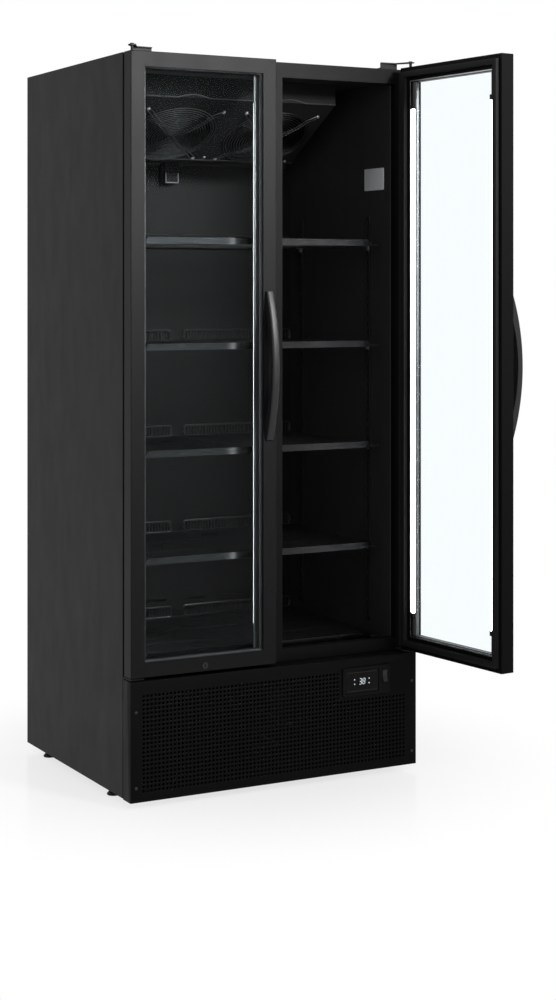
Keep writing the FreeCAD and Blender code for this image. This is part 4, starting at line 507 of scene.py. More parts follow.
class CellSizes(bpy.types.PropertyGroup):
    """Small pieces inside the cell."""
    lip: length("Cup rim", "Width of the drain cup's pale rim", 0.0032)
    rim_height: length("Rim height", "Height of the pale rim", 0.031)
    label_spot: pair("Label place", "Low front corner of the bare label (Y, Z)", (-0.294, 1.644))
    label_size: pair("Label size", "Width and height of the bare label", (0.107, 0.063))
    label_sheet: length("Label sheet", "Thickness of the label", 0.0006)
    fascia: length("Fascia", "Height of the evaporator cover's front", 0.060)
    heel: length("Heel", "Place along Y of the cover's low edge", 0.074)
    edge: length("Cover edge", "Radius of the cover's rolled edges", 0.0016)
    arch_width: length("Arch width", "Half the width of the arch over a guard", 0.047)
    arch_rise: length("Arch rise", "Height of the arch over a guard", 0.009)
    strip_width: length("Strip width", "Width of a pilaster", 0.020)
    strip_fold: length("Strip fold", "Depth of a pilaster", 0.005)
    strip_sheet: length("Strip sheet", "Thickness of a pilaster's sheet", 0.0008)
    strip_top: length("Strip top", "Height of a pilaster's upper end", 1.585)
    slot_pitch: length("Slot pitch", "Distance between slots", 0.0254)
    slot_width: length("Slot width", "Width of a slot", 0.0044)
    bar_share: FloatProperty(name="Bar share", description="Share of the pitch between two slots",
                             default=0.48, min=0.1, max=0.9, subtype="FACTOR")


class GuardSizes(bpy.types.PropertyGroup):
    """Wire guards and fans of the evaporator."""
    rings: IntProperty(name="Rings", description="Number of rings", default=16, min=3)
    radius: length("Radius", "Radius of the outermost ring", 0.130)
    hub: length("Hub", "Radius of the innermost ring", 0.013)
    wire: length("Wire", "Radius of the wire", 0.0011)
    rim: length("Rim", "Height of the outermost ring over the cover", 0.004)
    dome: length("Dome", "Rise of the middle over the rim", 0.0105)
    pair: length("Pair", "Distance between the two wires of an arm", 0.011)
    lug: length("Lug", "Distance of a fixing screw from the axis", 0.165)
    blade: length("Blade", "Reach of a blade from the axis", 0.110)
    fan_hub: length("Fan hub", "Radius of the fan's hub", 0.026)
    fan_depth: length("Fan depth", "Distance of the hub's middle behind the cover", 0.019)
    shaft_end: length("Shaft end", "Distance of the shaft's end behind the cover", 0.052)
    blade_root: length("Blade root", "Width of a blade at the hub", 0.034)
    blade_sheet: length("Blade sheet", "Thickness of a blade", 0.0016)


class DoorSizes(bpy.types.PropertyGroup):
    """Door pieces."""
    chip_pitch: length("Chip pitch", "Distance between light chips", 0.0068)
    base_width: length("Light base", "Width of a light's base", 0.013)
    base_height: length("Base height", "Height of a light's base", 0.003)
    tube_radius: length("Tube", "Radius of a light tube", 0.0046)
    tube_foot: length("Tube foot", "Distance of the tube's end from the door's lower edge", 0.107)
    tube_head: length("Tube head", "Distance of the tube's end from the door's upper edge", 0.119)
    cap: length("Cap", "Length of the tube's end caps", 0.014)
    handle_tip: length("Handle tip", "Depth of the handle's ends", 0.009)
    handle_grip: length("Handle grip", "Thickness of the handle in the middle", 0.019)
    handle_pad: length("Handle pad", "Length of the handle's pads", 0.052)
    handle_round: length("Handle rounding", "Rounding of the handle's edges", 0.006)
    gasket_inset: length("Gasket inset", "Distance of the gasket from the door's edge", 0.012)
    gasket_width: length("Gasket width", "Width of the gasket", 0.016)
    spacer_inset: length("Spacer inset", "Distance of the spacer's inner face from the door's edge", 0.0418)
    spacer_groove: length("Spacer groove", "Depth of the groove in the spacer", 0.0006)
    bead_inset: length("Bead inset", "Distance of the bead's inner edge from the door's edge", 0.041)
    bead_strip: length("Bead strip", "Width of the bright strip on the glazing bead", 0.0026)
    bead_rise: length("Bead rise", "Height of the bright strip", 0.0006)


class StudioSizes(bpy.types.PropertyGroup):
    """Camera and lamps."""
    camera_spot: FloatVectorProperty(name="Camera", description="Place of the camera", size=3,
                                     default=(-2.4417, -4.8973, 1.3706), subtype="TRANSLATION")
    camera_turn: FloatProperty(name="Turn", description="Turn of the camera about Z",
                               default=math.radians(-28.4685), subtype="ANGLE")
    lens: level("Lens", "Focal length in millimetres", 67.81)
    shift: level("Shift", "Vertical shift of the view", -0.2151)
    world_level: level("World", "Level of the soft light from all round", 0.45)
    side_level: level("Side lamp", "Power of the lamp at the left in watts", 12.0)
    front_level: level("Front lamp", "Power of the lamp in front in watts", 24.0)
    front_spread: FloatProperty(name="Beam", description="Spread of the beam of the lamp in front",
                                default=math.radians(50), unit="ROTATION", subtype="ANGLE")
    fill_level: level("Fill lamp", "Power of the lamp before the shelves in watts", 24.0)


class Merchandiser(bpy.types.PropertyGroup):
    """All sizes and colours."""
    look: PointerProperty(type=MerchandiserLook)
    grille: PointerProperty(type=GrilleSizes)
    controller: PointerProperty(type=ControllerSizes)
    shelf: PointerProperty(type=ShelfSizes)
    cell: PointerProperty(type=CellSizes)
    guard: PointerProperty(type=GuardSizes)
    door: PointerProperty(type=DoorSizes)
    studio: PointerProperty(type=StudioSizes)


# ---- mesh helpers

def settle(name, bm, finish):
    """Turn a bmesh into an object with one finish."""
    mesh = bpy.data.meshes.new(name)
    bm.to_mesh(mesh)
    bm.free()
    mesh.materials.append(bpy.data.materials[finish])
    thing = bpy.data.objects.new(name, mesh)
    bpy.context.scene.collection.objects.link(thing)
    return thing


def piece(name, bm, finish, body, replaced=(), sharp=35.0):
    """Turn a finished bmesh into a named piece that rides on a body."""
    bmesh.ops.remove_doubles(bm, verts=bm.verts, dist=MERGE)
    bmesh.ops.recalc_face_normals(bm, faces=bm.faces)
    thing = settle(name, bm, finish)
    thing.data.shade_smooth()
    thing.data.set_sharp_from_angle(angle=math.radians(sharp))
    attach(thing, body)
    if replaced:
        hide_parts(*replaced)
    return thing


def walled(thing, thickness):
    """Give a sheet its thickness, inwards."""
    wall = thing.modifiers.new("Sheet", "SOLIDIFY")
    wall.thickness = thickness
    wall.offset = -1


def rounded(bm, edges, rounding, segments):
    return bmesh.ops.bevel(bm, geom=edges, offset=rounding, affect="EDGES", segments=segments,
                           profile=0.5, material=-1)["faces"]


def spun(bm, geom, matrix, steps):
    """Spin edges once round the Z of a matrix."""
    bmesh.ops.spin(bm, geom=geom, cent=matrix.translation, axis=matrix.to_3x3() @ Vector((0, 0, 1)),
                   angle=2 * math.pi, steps=steps, use_merge=True)


def edges_of(verts):
    return list({edge for vert in verts for edge in vert.link_edges})


def only(geom, kind):
    return [item for item in geom if isinstance(item, kind)]


def slab(bm, low, high, rounding=0.0, segments=2, matrix=None):
    """A box between two corners, with rounded edges."""
    low, high = Vector(low), Vector(high)
    verts = bmesh.ops.create_cube(bm, size=1.0)["verts"]
    bmesh.ops.scale(bm, vec=high - low, verts=verts)
    bmesh.ops.translate(bm, vec=(high + low) / 2, verts=verts)
    if rounding:
        faces = rounded(bm, edges_of(verts), rounding, segments)
        verts = list({vert for face in faces for vert in face.verts})
    if matrix:
        bmesh.ops.transform(bm, matrix=matrix, verts=verts)


def rod(bm, start, end, radius, sides=8):
    """A straight round wire."""
    start, end = Vector(start), Vector(end)
    run = end - start
    stand = Matrix.Translation((start + end) / 2) @ run.to_track_quat("Z", "Y").to_matrix().to_4x4()
    bmesh.ops.create_cone(bm, cap_ends=True, segments=sides, radius1=radius, radius2=radius,
                          depth=run.length, matrix=stand)


def hoop(bm, height, radius, wire, *, steps, sides, matrix):
    """A ring of round wire about the Z of a matrix."""
    start = matrix @ Matrix.Translation((radius, 0, height)) @ UPRIGHT
    verts = bmesh.ops.create_circle(bm, segments=sides, radius=wire, matrix=start)["verts"]
    spun(bm, verts + edges_of(verts), matrix, steps)


def turned(bm, profile, *, steps, matrix):
    """A round shape spun from (radius, height) points about the Z of a matrix."""
    verts = [bm.verts.new(matrix @ Vector((radius, 0, height))) for radius, height in profile]
    edges = [bm.edges.new(ends) for ends in zip(verts, verts[1:])]
    spun(bm, verts + edges, matrix, steps)


def bent_wire(bm, points, radius, sides=8, closed=False):
    """A round wire along points, drawn out of one circle."""
    points = [Vector(point) for point in points]
    count = len(points)
    stands = []
    for index, point in enumerate(points):
        before = points[index - 1] if index or closed else point
        after = points[(index + 1) % count] if index + 1 < count or closed else point
        ahead = (after - point).normalized() + (point - before).normalized()
        stands.append(Matrix.Translation(point) @ ahead.to_track_quat("Z", "Y").to_matrix().to_4x4())
    verts = bmesh.ops.create_circle(bm, cap_ends=not closed, segments=sides, radius=radius,
                                    matrix=stands[0])["verts"]
    first = edges_of(verts)
    edges = first
    for old, new in zip(stands, stands[1:]):
        edges, fresh = draw_out(bm, edges)
        bmesh.ops.transform(bm, matrix=new @ old.inverted(), verts=fresh)
    if closed:
        bmesh.ops.bridge_loops(bm, edges=edges + first)
    else:
        bmesh.ops.holes_fill(bm, edges=edges)


def draw_out(bm, edges):
    """Extrude a loop of edges, and return the new loop and its corners."""
    drawn = bmesh.ops.extrude_edge_only(bm, edges=edges)["geom"]
    fresh = set(only(drawn, bmesh.types.BMVert))
    loop = [edge for edge in only(drawn, bmesh.types.BMEdge) if fresh.issuperset(edge.verts)]
    return loop, list(fresh)


def arc(centre, radius, start, end, steps):
    """Points (a, b) on an arc, with angles in degrees."""
    angles = [math.radians(start + (end - start) * step / steps) for step in range(steps + 1)]
    return [(centre[0] + radius * math.cos(angle), centre[1] + radius * math.sin(angle)) for angle in angles]


def round_rectangle(low, high, bend):
    """Points (a, b) of a rectangle with round corners."""
    near = (low[0] + bend, low[1] + bend)
    far = (high[0] - bend, high[1] - bend)
    centres = (far, (near[0], far[1]), near, (far[0], near[1]))
    return [point for turn, centre in enumerate(centres)
            for point in arc(centre, bend, 90 * turn, 90 * turn + 90, CORNER_STEPS)]


def loop_of(bm, points):
    """A closed loop of edges through points."""
    verts = [bm.verts.new(point) for point in points]
    return [bm.edges.new((vert, verts[(index + 1) % len(verts)])) for index, vert in enumerate(verts)]


def rectangle(bm, low, high, inset, depth):
    """A closed loop of edges in the XZ plane, inside two corners."""
    left, right, foot, head = low.x + inset, high.x - inset, low.z + inset, high.z - inset
    return loop_of(bm, [(left, depth, foot), (right, depth, foot), (right, depth, head),
                        (left, depth, head)])


def plate(bm, points, direction, rounding=0.0):
    """A flat outline raised into a plate, with the edges of its raised face rounded."""
    face = bm.faces.new([bm.verts.new(point) for point in points])
    raised = bmesh.ops.extrude_face_region(bm, geom=[face])["geom"]
    bmesh.ops.translate(bm, vec=direction, verts=only(raised, bmesh.types.BMVert))
    if rounding:
        rim = list({edge for top in only(raised, bmesh.types.BMFace) for edge in top.edges})
        rounded(bm, rim, rounding, 2)


def framed_ring(bm, profile, low, high):
    """A mitred ring in the XZ plane: each profile point is an inset from the edge and a Y."""
    loops = []
    for across, up in ((0, 0), (1, 0), (1, 1), (0, 1)):
        points = []
        for inset, depth in profile:
            x = high.x - inset if across else low.x + inset
            z = high.z - inset if up else low.z + inset
            points.append((x, depth, z))
        loops.append(loop_of(bm, points))
    for index, loop in enumerate(loops):
        bmesh.ops.bridge_loops(bm, edges=loop + loops[(index + 1) % len(loops)])


def hang(bm, side):
    """Move pieces drawn on the closed left door to where a side's door stands."""
    if side == "right":
        bmesh.ops.scale(bm, vec=(-1, 1, 1), verts=bm.verts)
        bmesh.ops.rotate(bm, verts=bm.verts, cent=RIGHT_PIN, matrix=Matrix.Rotation(RIGHT_OPEN, 3, "Z"))


# Screw heads as shares of their radius and height.
PAN_HEAD = ((0, 0), (1, 0), (1, 0.45), (0.86, 0.8), (0.55, 1), (0.16, 1), (0, 0.35))
RECESS_LOW = (-0.6, -0.09, 0.9)
RECESS_HIGH = (0.6, 0.09, 1.06)
HEXAGON_HEAD = ((0, 0), (1, 0), (1, 0.8), (0.85, 1), (0, 1))


def screw(bm, matrix, radius, height):
    """A pan head with a crossed recess, standing on the XY plane of a matrix."""
    turned(bm, [(radius * across, height * up) for across, up in PAN_HEAD], steps=12, matrix=matrix)
    for turn in (0, math.pi / 2):
        low, high = ((radius * x, radius * y, height * z) for x, y, z in (RECESS_LOW, RECESS_HIGH))
        slab(bm, low, high, matrix=matrix @ Matrix.Rotation(turn, 4, "Z"))


def hexagon_screw(bm, matrix, radius, height):
    """A chamfered hexagon head."""
    turned(bm, [(radius * across, height * up) for across, up in HEXAGON_HEAD], steps=6, matrix=matrix)


# ---- lower front

def perforated_field(bm, start, columns, rows, pitch, radius):
    """A flat field of round holes in the XZ plane, from its low corner."""
    middle = Matrix.Translation(start + Vector((pitch / 2, 0, pitch / 2)))
    hole = bmesh.ops.create_circle(bm, segments=8, radius=radius, matrix=middle @ UPRIGHT)["verts"]
    border = bmesh.ops.create_circle(bm, segments=8, radius=pitch / 2, matrix=middle @ UPRIGHT)["verts"]
    corners = [vert for index, vert in enumerate(border) if index % 2]
    bmesh.ops.scale(bm, vec=(math.sqrt(2), 1, math.sqrt(2)), verts=corners, space=middle.inverted())
    faces = bmesh.ops.bridge_loops(bm, edges=edges_of(hole + border))["faces"]
    cell = hole + border + list({edge for face in faces for edge in face.edges}) + faces
    for step, count in ((Vector((pitch, 0, 0)), columns), (Vector((0, 0, pitch)), rows)):
        latest = cell
        for _ in range(count - 1):
            latest = bmesh.ops.duplicate(bm, geom=latest)["geom"]
            bmesh.ops.translate(bm, vec=step, verts=only(latest, bmesh.types.BMVert))
            cell = cell + latest


class MERCH_OT_grille(bpy.types.Operator):
    """Build the folded lower front with its round perforation"""
    bl_idname = "merch.grille"
    bl_label = "Lower Front"

    def execute(self, context):
        sizes = context.scene.merchandiser.grille
        low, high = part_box("grille_panel")
        bezel_low, bezel_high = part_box("controller_housing")
        pitch = sizes.hole_pitch
        start = Vector((low.x + sizes.margin, low.y, low.z + sizes.foot))
        tall_columns = int((bezel_low.x - sizes.clearance - start.x) / pitch)
        tall_rows = int((high.z - sizes.head - start.z) / pitch)
        low_columns = int((high.x - sizes.margin - start.x) / pitch) - tall_columns
        low_rows = int((bezel_low.z - sizes.clearance - start.z) / pitch)
        bm = bmesh.new()
        perforated_field(bm, start, tall_columns, tall_rows, pitch, sizes.hole_radius)
        beside = start + Vector((tall_columns * pitch, 0, 0))
        perforated_field(bm, beside, low_columns, low_rows, pitch, sizes.hole_radius)
        bmesh.ops.remove_doubles(bm, verts=bm.verts, dist=MERGE)
        outline = [edge for edge in bm.edges if edge.is_boundary and edge.calc_length() > sizes.hole_radius]
        border = rectangle(bm, low, high, sizes.edge, low.y)
        window = rectangle(bm, bezel_low, bezel_high, sizes.window_inset, low.y)
        bmesh.ops.triangle_fill(bm, use_beauty=True, edges=outline + border + window)
        self.fold_back(bm, border, low, high, sizes.edge)
        self.cut_keepers(bm, low, high, sizes)
        sheet = piece("grille_sheet", bm, "lower_front_coat", "cabinet", ["grille_panel"])
        walled(sheet, sizes.sheet)
        return {"FINISHED"}

    def fold_back(self, bm, border, low, high, edge):
        """Fold the border back round a small radius to the panel's full depth."""
        centre = Matrix.Translation((low + high) / 2)
        reach = (high - low) / 2
        turns = [math.radians(turn) for turn in (30, 60, 90)]
        stations = [(edge * (1 - math.sin(turn)), edge * (1 - math.cos(turn))) for turn in turns]
        was_inset, was_back = edge, 0.0
        for inset, back in stations + [(0.0, high.y - low.y)]:
            border, verts = draw_out(bm, border)
            ratio = ((reach.x - inset) / (reach.x - was_inset), 1, (reach.z - inset) / (reach.z - was_inset))
            bmesh.ops.scale(bm, vec=ratio, verts=verts, space=centre.inverted())
            bmesh.ops.translate(bm, vec=(0, back - was_back, 0), verts=verts)
            was_inset, was_back = inset, back

    def cut_keepers(self, bm, low, high, sizes):
        """Cut slots in the top fold for the tongues of the door locks."""
        front = low.y + sizes.keeper_front
        back = front + sizes.keeper_width
        spans = [(-sizes.keeper_far, -sizes.keeper_near), (sizes.keeper_near, sizes.keeper_far)]
        cuts = [((x, 0, 0), (1, 0, 0)) for span in spans for x in span]
        cuts += [((0, y, 0), (0, 1, 0)) for y in (front, back)]
        for spot, normal in cuts:
            top = [face for face in bm.faces if all(vert.co.z > high.z - MERGE for vert in face.verts)]
            rim = {item for face in top for item in list(face.edges) + list(face.verts)}
            bmesh.ops.bisect_plane(bm, geom=top + list(rim), dist=MERGE, plane_co=spot, plane_no=normal)
        slots = []
        for face in bm.faces:
            middle = face.calc_center_median()
            if middle.z > high.z - MERGE and front < middle.y < back:
                if any(near < middle.x < far for near, far in spans):
                    slots.append(face)
        bmesh.ops.delete(bm, geom=slots, context="FACES")


# ---- controller

LEVEL_BARS = {"top": (0.5, 1.0), "middle": (0.5, 0.5), "bottom": (0.5, 0.0)}
UPRIGHT_BARS = {"upper left": (0.0, 0.75), "upper right": (1.0, 0.75), "lower left": (0.0, 0.25),
                "lower right": (1.0, 0.25)}
THREE = ("top", "middle", "bottom", "upper right", "lower right")
EIGHT = tuple(LEVEL_BARS) + tuple(UPRIGHT_BARS)
DIGIT_LEAN = math.tan(math.radians(7))
BAR_GAP = 0.6        # what each end of a bar gives up, in widths of a bar
BAR_ROUNDING = 0.4   # as a share of the marks' height
DOT_SHAPE = ((0, 0), (1, 0), (0.9, 1), (0, 1.4))     # shares of the dot's radius and height


class MERCH_OT_controller(bpy.types.Operator):
    """Build the controller's window, its lit digits and dots, and two grey strips along the window's edges
    that are painted highlights
    """
    bl_idname = "merch.controller"
    bl_label = "Controller"

    def execute(self, context):
        sizes = context.scene.merchandiser.controller
        low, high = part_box("controller_display")
        middle = (low + high) / 2
        window = bmesh.new()
        outline = round_rectangle((low.x, low.z), (high.x, high.z), sizes.corner)
        plate(window, [(x, high.y, z) for x, z in outline], (0, low.y - high.y, 0), sizes.proud)
        piece("controller_window", window, "display_window", "cabinet", ["controller_display"])

        lit = bmesh.new()
        first = middle.x - sizes.digit_width - sizes.digit_gap / 2
        for bars, start in ((THREE, first), (EIGHT, first + sizes.digit_width + sizes.digit_gap)):
            self.digit(lit, bars, Vector((start, low.y, middle.z - sizes.digit_height / 2)), sizes)
        for across in (-1, 1):
            for up in (-1, 1):
                spot = Vector((middle.x + across * sizes.dot_side, low.y, middle.z + up * sizes.dot_rise))
                dome = [(sizes.dot * radius, sizes.proud * height) for radius, height in DOT_SHAPE]
                turned(lit, dome, steps=16, matrix=Matrix.Translation(spot) @ UPRIGHT)
        piece("controller_digits", lit, "lit_marks", "cabinet")

        # Painted highlight: two grey strips stand in for the light caught by the bezel's inner edges above
        # and below the window.
        lines = bmesh.new()
        for level in (low.z + sizes.line_inset, high.z - sizes.line_inset):
            slab(lines, (low.x + sizes.line_inset, low.y - sizes.proud, level - sizes.proud),
                 (high.x - sizes.line_inset, low.y, level + sizes.proud), sizes.proud / 3, 1)
        piece("controller_lines", lines, "grey_marks", "cabinet")
        return {"FINISHED"}

    def digit(self, bm, bars, low, sizes):
        """A digit of bevelled bars, leaning a little."""
        stroke = sizes.stroke
        for name in bars:
            across, up = LEVEL_BARS.get(name) or UPRIGHT_BARS[name]
            spot = low + Vector((across * sizes.digit_width + up * sizes.digit_height * DIGIT_LEAN, 0,
                                 up * sizes.digit_height))
            long_way = Vector((sizes.digit_width / 2 - stroke * BAR_GAP, 0, stroke / 2))
            if name in UPRIGHT_BARS:
                long_way = Vector((stroke / 2, 0, sizes.digit_height / 4 - stroke * BAR_GAP))
            slab(bm, spot - long_way - Vector((0, sizes.proud, 0)), spot + long_way,
                 sizes.proud * BAR_ROUNDING)


# ---- shelves

RIM_SHARE = 0.8          # wire of the upstand's rim, as a share of the border wire
RUNNER_ROUNDING = 0.001  # edges of the floor rack's runners


class MERCH_OT_shelves(bpy.types.Operator):
    """Build the welded wire shelves and the floor rack"""
    bl_idname = "merch.shelves"
    bl_label = "Wire Shelves"

    def execute(self, context):
        sizes = context.scene.merchandiser.shelf
        for node in frame["nodes"]:
            if node == "floor_rack" or node.startswith("shelf_") and node != "shelf_clips":
                self.shelf(node, sizes)
        return {"FINISHED"}

    def shelf(self, node, sizes):
        low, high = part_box(node)
        bm = bmesh.new()
        deck = high.z - sizes.upstand - sizes.deck_drop - sizes.wire
        under = deck - sizes.wire - sizes.border
        near, far = low.y + sizes.border, high.y - sizes.border
        left, right = low.x + sizes.border, high.x - sizes.border
        border = round_rectangle((left, near), (right, far), sizes.bend)
        bent_wire(bm, [(x, y, under) for x, y in border], sizes.border, sides=10, closed=True)
        for share in (1 / 3, 2 / 3):
            level = near + (far - near) * share
            rod(bm, (left, level, under), (right, level, under), sizes.border, sides=10)
        count = int((right - left) / sizes.pitch)
        for number in range(count):
            x = (left + right + (2 * number + 1 - count) * sizes.pitch) / 2
            run = [(near, deck), (far, deck)]
            if abs(x) > sizes.notch / 2:
                bend = arc((far - sizes.bend, deck + sizes.bend), sizes.bend, -90, 0, 3)
                run = [(near, deck)] + bend + [(far, high.z - sizes.wire)]
            bent_wire(bm, [(x, y, z) for y, z in run], sizes.wire, sides=6)
        for ends in ((left, -sizes.notch / 2), (sizes.notch / 2, right)):
            rim = round_rectangle((ends[0], deck), (ends[1], high.z - sizes.border), sizes.bend)
            bent_wire(bm, [(x, far, z) for x, z in rim], sizes.border * RIM_SHARE, sides=8,
                      closed=True)
        if node == "floor_rack":
            for side in (left, right):
                slab(bm, (side - sizes.border, near + sizes.bend, low.z),
                     (side + sizes.border, far - sizes.bend, under), RUNNER_ROUNDING)
        piece("wire_" + node, bm, "shelf_wire", "cabinet", [node])


# ---- evaporator

# Guards: curve of the dome, then heights and thickness in radii of the wire.
DOME_CURVE = 2.4
ARM_WIRE = 1.15
ARM_RISE = 2
FOOT_RISE = 1.2
GUARD_SCREW_RISE = 2.4
GUARD_SCREW_HEIGHT = 2.5
GUARD_SCREW_SHARE = 0.47     # its radius, as a share of the distance between an arm's wires
# Fans: half the hub's length as a share of its depth, and its shoulder as shares of its radius and
# of that half; then the shaft and the blades.
HUB_HALF = 0.55
HUB_SHOULDER = (0.8, 0.7)
SHAFT_RADIUS = 0.003
BLADES = 5
BLADE_ROOT_SHARE = 0.9       # where a blade starts, as a share of the hub's radius
BLADE_PITCH = math.radians(32)
BLADE_STEPS = 6
BLADE_TWIST = math.radians(-3)
BLADE_WIDENING = 1.085
# The cover's screw: its place in front of the low edge and over it, its radius and its height.
COVER_SCREW_FRONT = 0.013
COVER_SCREW_RISE = 0.0075
COVER_SCREW_RADIUS = 0.004
COVER_SCREW_HEIGHT = 0.0024
COVER_STEPS = 80             # runs of the rolled edge along the cover's arches


def slope_of(side):
    """The matrix of a fan opening: Z out of the slope into the cell, X to the side."""
    joint = JOINTS[f"evaporator_fan_{side}_spin"]
    axis = Vector(joint["axis"])
    if axis.z > 0:
        axis = -axis
    across = Vector((1, 0, 0))
    stand = Matrix((across, axis.cross(across), axis)).transposed().to_4x4()
    return Matrix.Translation(joint["pos_m"]) @ stand


class MERCH_OT_guards(bpy.types.Operator):
    """Build the domed wire guards in front of the evaporator fans"""
    bl_idname = "merch.guards"
    bl_label = "Fan Guards"

    def execute(self, context):
        sizes = context.scene.merchandiser.guard
        wires = bmesh.new()
        screws = bmesh.new()
        for side in HANDS:
            slope = slope_of(side)
            step = (sizes.radius - sizes.hub) / (sizes.rings - 1)
            for ring in range(sizes.rings):
                radius = sizes.hub + ring * step
                hoop(wires, self.rise(sizes, radius), radius, sizes.wire, steps=64, sides=5, matrix=slope)
            for turn in (math.pi / 4, 3 * math.pi / 4):
                arm = slope @ Matrix.Rotation(turn, 4, "Z")
                loop = [arm @ point for point in self.arm(sizes)]
                bent_wire(wires, loop, sizes.wire * ARM_WIRE, sides=6, closed=True)
                for end in (-1, 1):
                    spot = Matrix.Translation((end * sizes.lug, 0, sizes.wire * GUARD_SCREW_RISE))
                    screw(screws, arm @ spot, sizes.pair * GUARD_SCREW_SHARE,
                          sizes.wire * GUARD_SCREW_HEIGHT)
        piece("guard_wires", wires, "guard_wire", "cabinet", ["fan_guards"])
        piece("guard_screws", screws, "zinc_plate", "cabinet")
        return {"FINISHED"}

    def rise(self, sizes, radius):
        """Height of the dome over the cover at a distance from the axis."""
        if radius > sizes.radius:
            return sizes.wire * FOOT_RISE
        return sizes.rim + sizes.dome * (1 - (radius / sizes.radius) ** DOME_CURVE)

    def arm(self, sizes):
        """A long loop of wire over the rings and round both fixing screws."""
        steps = 10
        half = sizes.pair / 2
        runs = [sizes.lug * (2 * step / steps - 1) for step in range(steps + 1)]
        tops = [self.rise(sizes, abs(run)) + sizes.wire * ARM_RISE for run in runs]
        far = [Vector((run, half, top)) for run, top in zip(runs, tops)]
        near = [Vector((run, -half, top)) for run, top in reversed(list(zip(runs, tops)))]
        foot = sizes.wire * FOOT_RISE
        tip = [Vector((x, y, foot)) for x, y in arc((sizes.lug, 0), half, 60, -60, 4)]
        tail = [Vector((x, y, foot)) for x, y in arc((-sizes.lug, 0), half, -120, -240, 4)]
        return far + tip + near + tail


class MERCH_OT_fans(bpy.types.Operator):
    """Build the evaporator fans with twisted blades"""
    bl_idname = "merch.fans"
    bl_label = "Evaporator Fans"

    def execute(self, context):
        sizes = context.scene.merchandiser.guard
        for side in HANDS:
            node = f"evaporator_fan_{side}"
            slope = slope_of(side)
            hub, depth = sizes.fan_hub, sizes.fan_depth
            half = depth * HUB_HALF
            shoulder, rise = HUB_SHOULDER
            bm = bmesh.new()
            turned(bm, [(0, half - depth), (hub * shoulder, half - depth), (hub, half * rise - depth),
                        (hub, -half - depth), (0, -half - depth)], steps=40, matrix=slope)
            turned(bm, [(0, -half - depth), (SHAFT_RADIUS, -half - depth),
                        (SHAFT_RADIUS, -sizes.shaft_end), (0, -sizes.shaft_end)], steps=16,
                   matrix=slope)
            for number in range(BLADES):
                self.blade(bm, sizes, slope @ Matrix.Rotation(number * 2 * math.pi / BLADES, 4, "Z"))
            piece(f"fan_blades_{side}", bm, "fan_plastic", node, [node])
        return {"FINISHED"}

    def blade(self, bm, sizes, matrix):
        """A thin blade that widens and flattens towards its tip."""
        root = sizes.fan_hub * BLADE_ROOT_SHARE
        middle = matrix @ Matrix.Translation((0, 0, -sizes.fan_depth))
        stand = middle @ Matrix.Translation((root, 0, 0)) @ Matrix.Rotation(BLADE_PITCH, 4, "X")
        size = Matrix.Diagonal((sizes.blade_sheet, sizes.blade_root, 1, 1))
        flat = stand @ Matrix.Rotation(math.pi / 2, 4, "Y") @ size
        section = bmesh.ops.create_grid(bm, x_segments=1, y_segments=4, size=0.5, matrix=flat)["verts"]
        faces = list({face for vert in section for face in vert.link_faces})
        grow = Matrix.Rotation(BLADE_TWIST, 4, "X") @ Matrix.Scale(BLADE_WIDENING, 4, (0, 1, 0))
        for _ in range(BLADE_STEPS):
            drawn = bmesh.ops.extrude_face_region(bm, geom=faces)["geom"]
            bmesh.ops.delete(bm, geom=faces, context="FACES_ONLY")
            faces = only(drawn, bmesh.types.BMFace)
            verts = only(drawn, bmesh.types.BMVert)
            local = Matrix.Translation(((sizes.blade - root) / BLADE_STEPS, 0, 0)) @ grow
            bmesh.ops.transform(bm, matrix=middle @ local @ middle.inverted(), verts=verts)


class MERCH_OT_cell(bpy.types.Operator):
    """Build the small pieces inside the cell: cup rim, bare label, cover edges and their screw"""
    bl_idname = "merch.cell"
    bl_label = "Cell Fittings"

    def execute(self, context):
        sizes = context.scene.merchandiser.cell
        low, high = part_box("drain_cup")
        lip = sizes.lip
        rim = bmesh.new()
        top = low.z + sizes.rim_height
        for start, end in (((low.x, low.z), (low.x + lip, top)), ((high.x - lip, low.z), (high.x, top)),
                           ((low.x, low.z), (high.x, low.z + lip))):
            slab(rim, (start[0], low.y - lip / 3, start[1]), (end[0], low.y, end[1]), lip / 6)
        piece("cup_rim", rim, "pale_plastic", "cabinet")

        label = bmesh.new()
        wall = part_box("pilasters")[1].x - sizes.label_sheet / 4
        start, width, height = sizes.label_spot, sizes.label_size[0], sizes.label_size[1]
        outline = round_rectangle(start, (start[0] + width, start[1] + height), sizes.label_sheet * 5)
        plate(label, [(wall, y, z) for y, z in outline], (-sizes.label_sheet, 0, 0), sizes.label_sheet / 3)
        piece("rating_label", label, "label_stock", "cabinet")

        low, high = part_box("evaporator_cover")
        fan = abs(JOINTS["evaporator_fan_right_spin"]["pos_m"][0])
        runs = [low.x + (high.x - low.x) * step / COVER_STEPS for step in range(COVER_STEPS + 1)]
        front = high.z - sizes.fascia
        edges = bmesh.new()
        arch = [max(0, 1 - ((abs(x) - fan) / sizes.arch_width) ** 2) * sizes.arch_rise for x in runs]
        bent_wire(edges, [(x, low.y, front + rise) for x, rise in zip(runs, arch)], sizes.edge, sides=8)
        bent_wire(edges, [(low.x, sizes.heel, low.z), (high.x, sizes.heel, low.z)], sizes.edge, sides=8)
        piece("cover_edges", edges, "edge_coat", "cabinet")

        slope = slope_of("left").to_3x3().to_4x4()
        screws = bmesh.new()
        spot = Matrix.Translation((0, sizes.heel - COVER_SCREW_FRONT, low.z + COVER_SCREW_RISE))
        screw(screws, spot @ slope, COVER_SCREW_RADIUS, COVER_SCREW_HEIGHT)
        piece("cover_screw", screws, "zinc_plate", "cabinet")
        return {"FINISHED"}


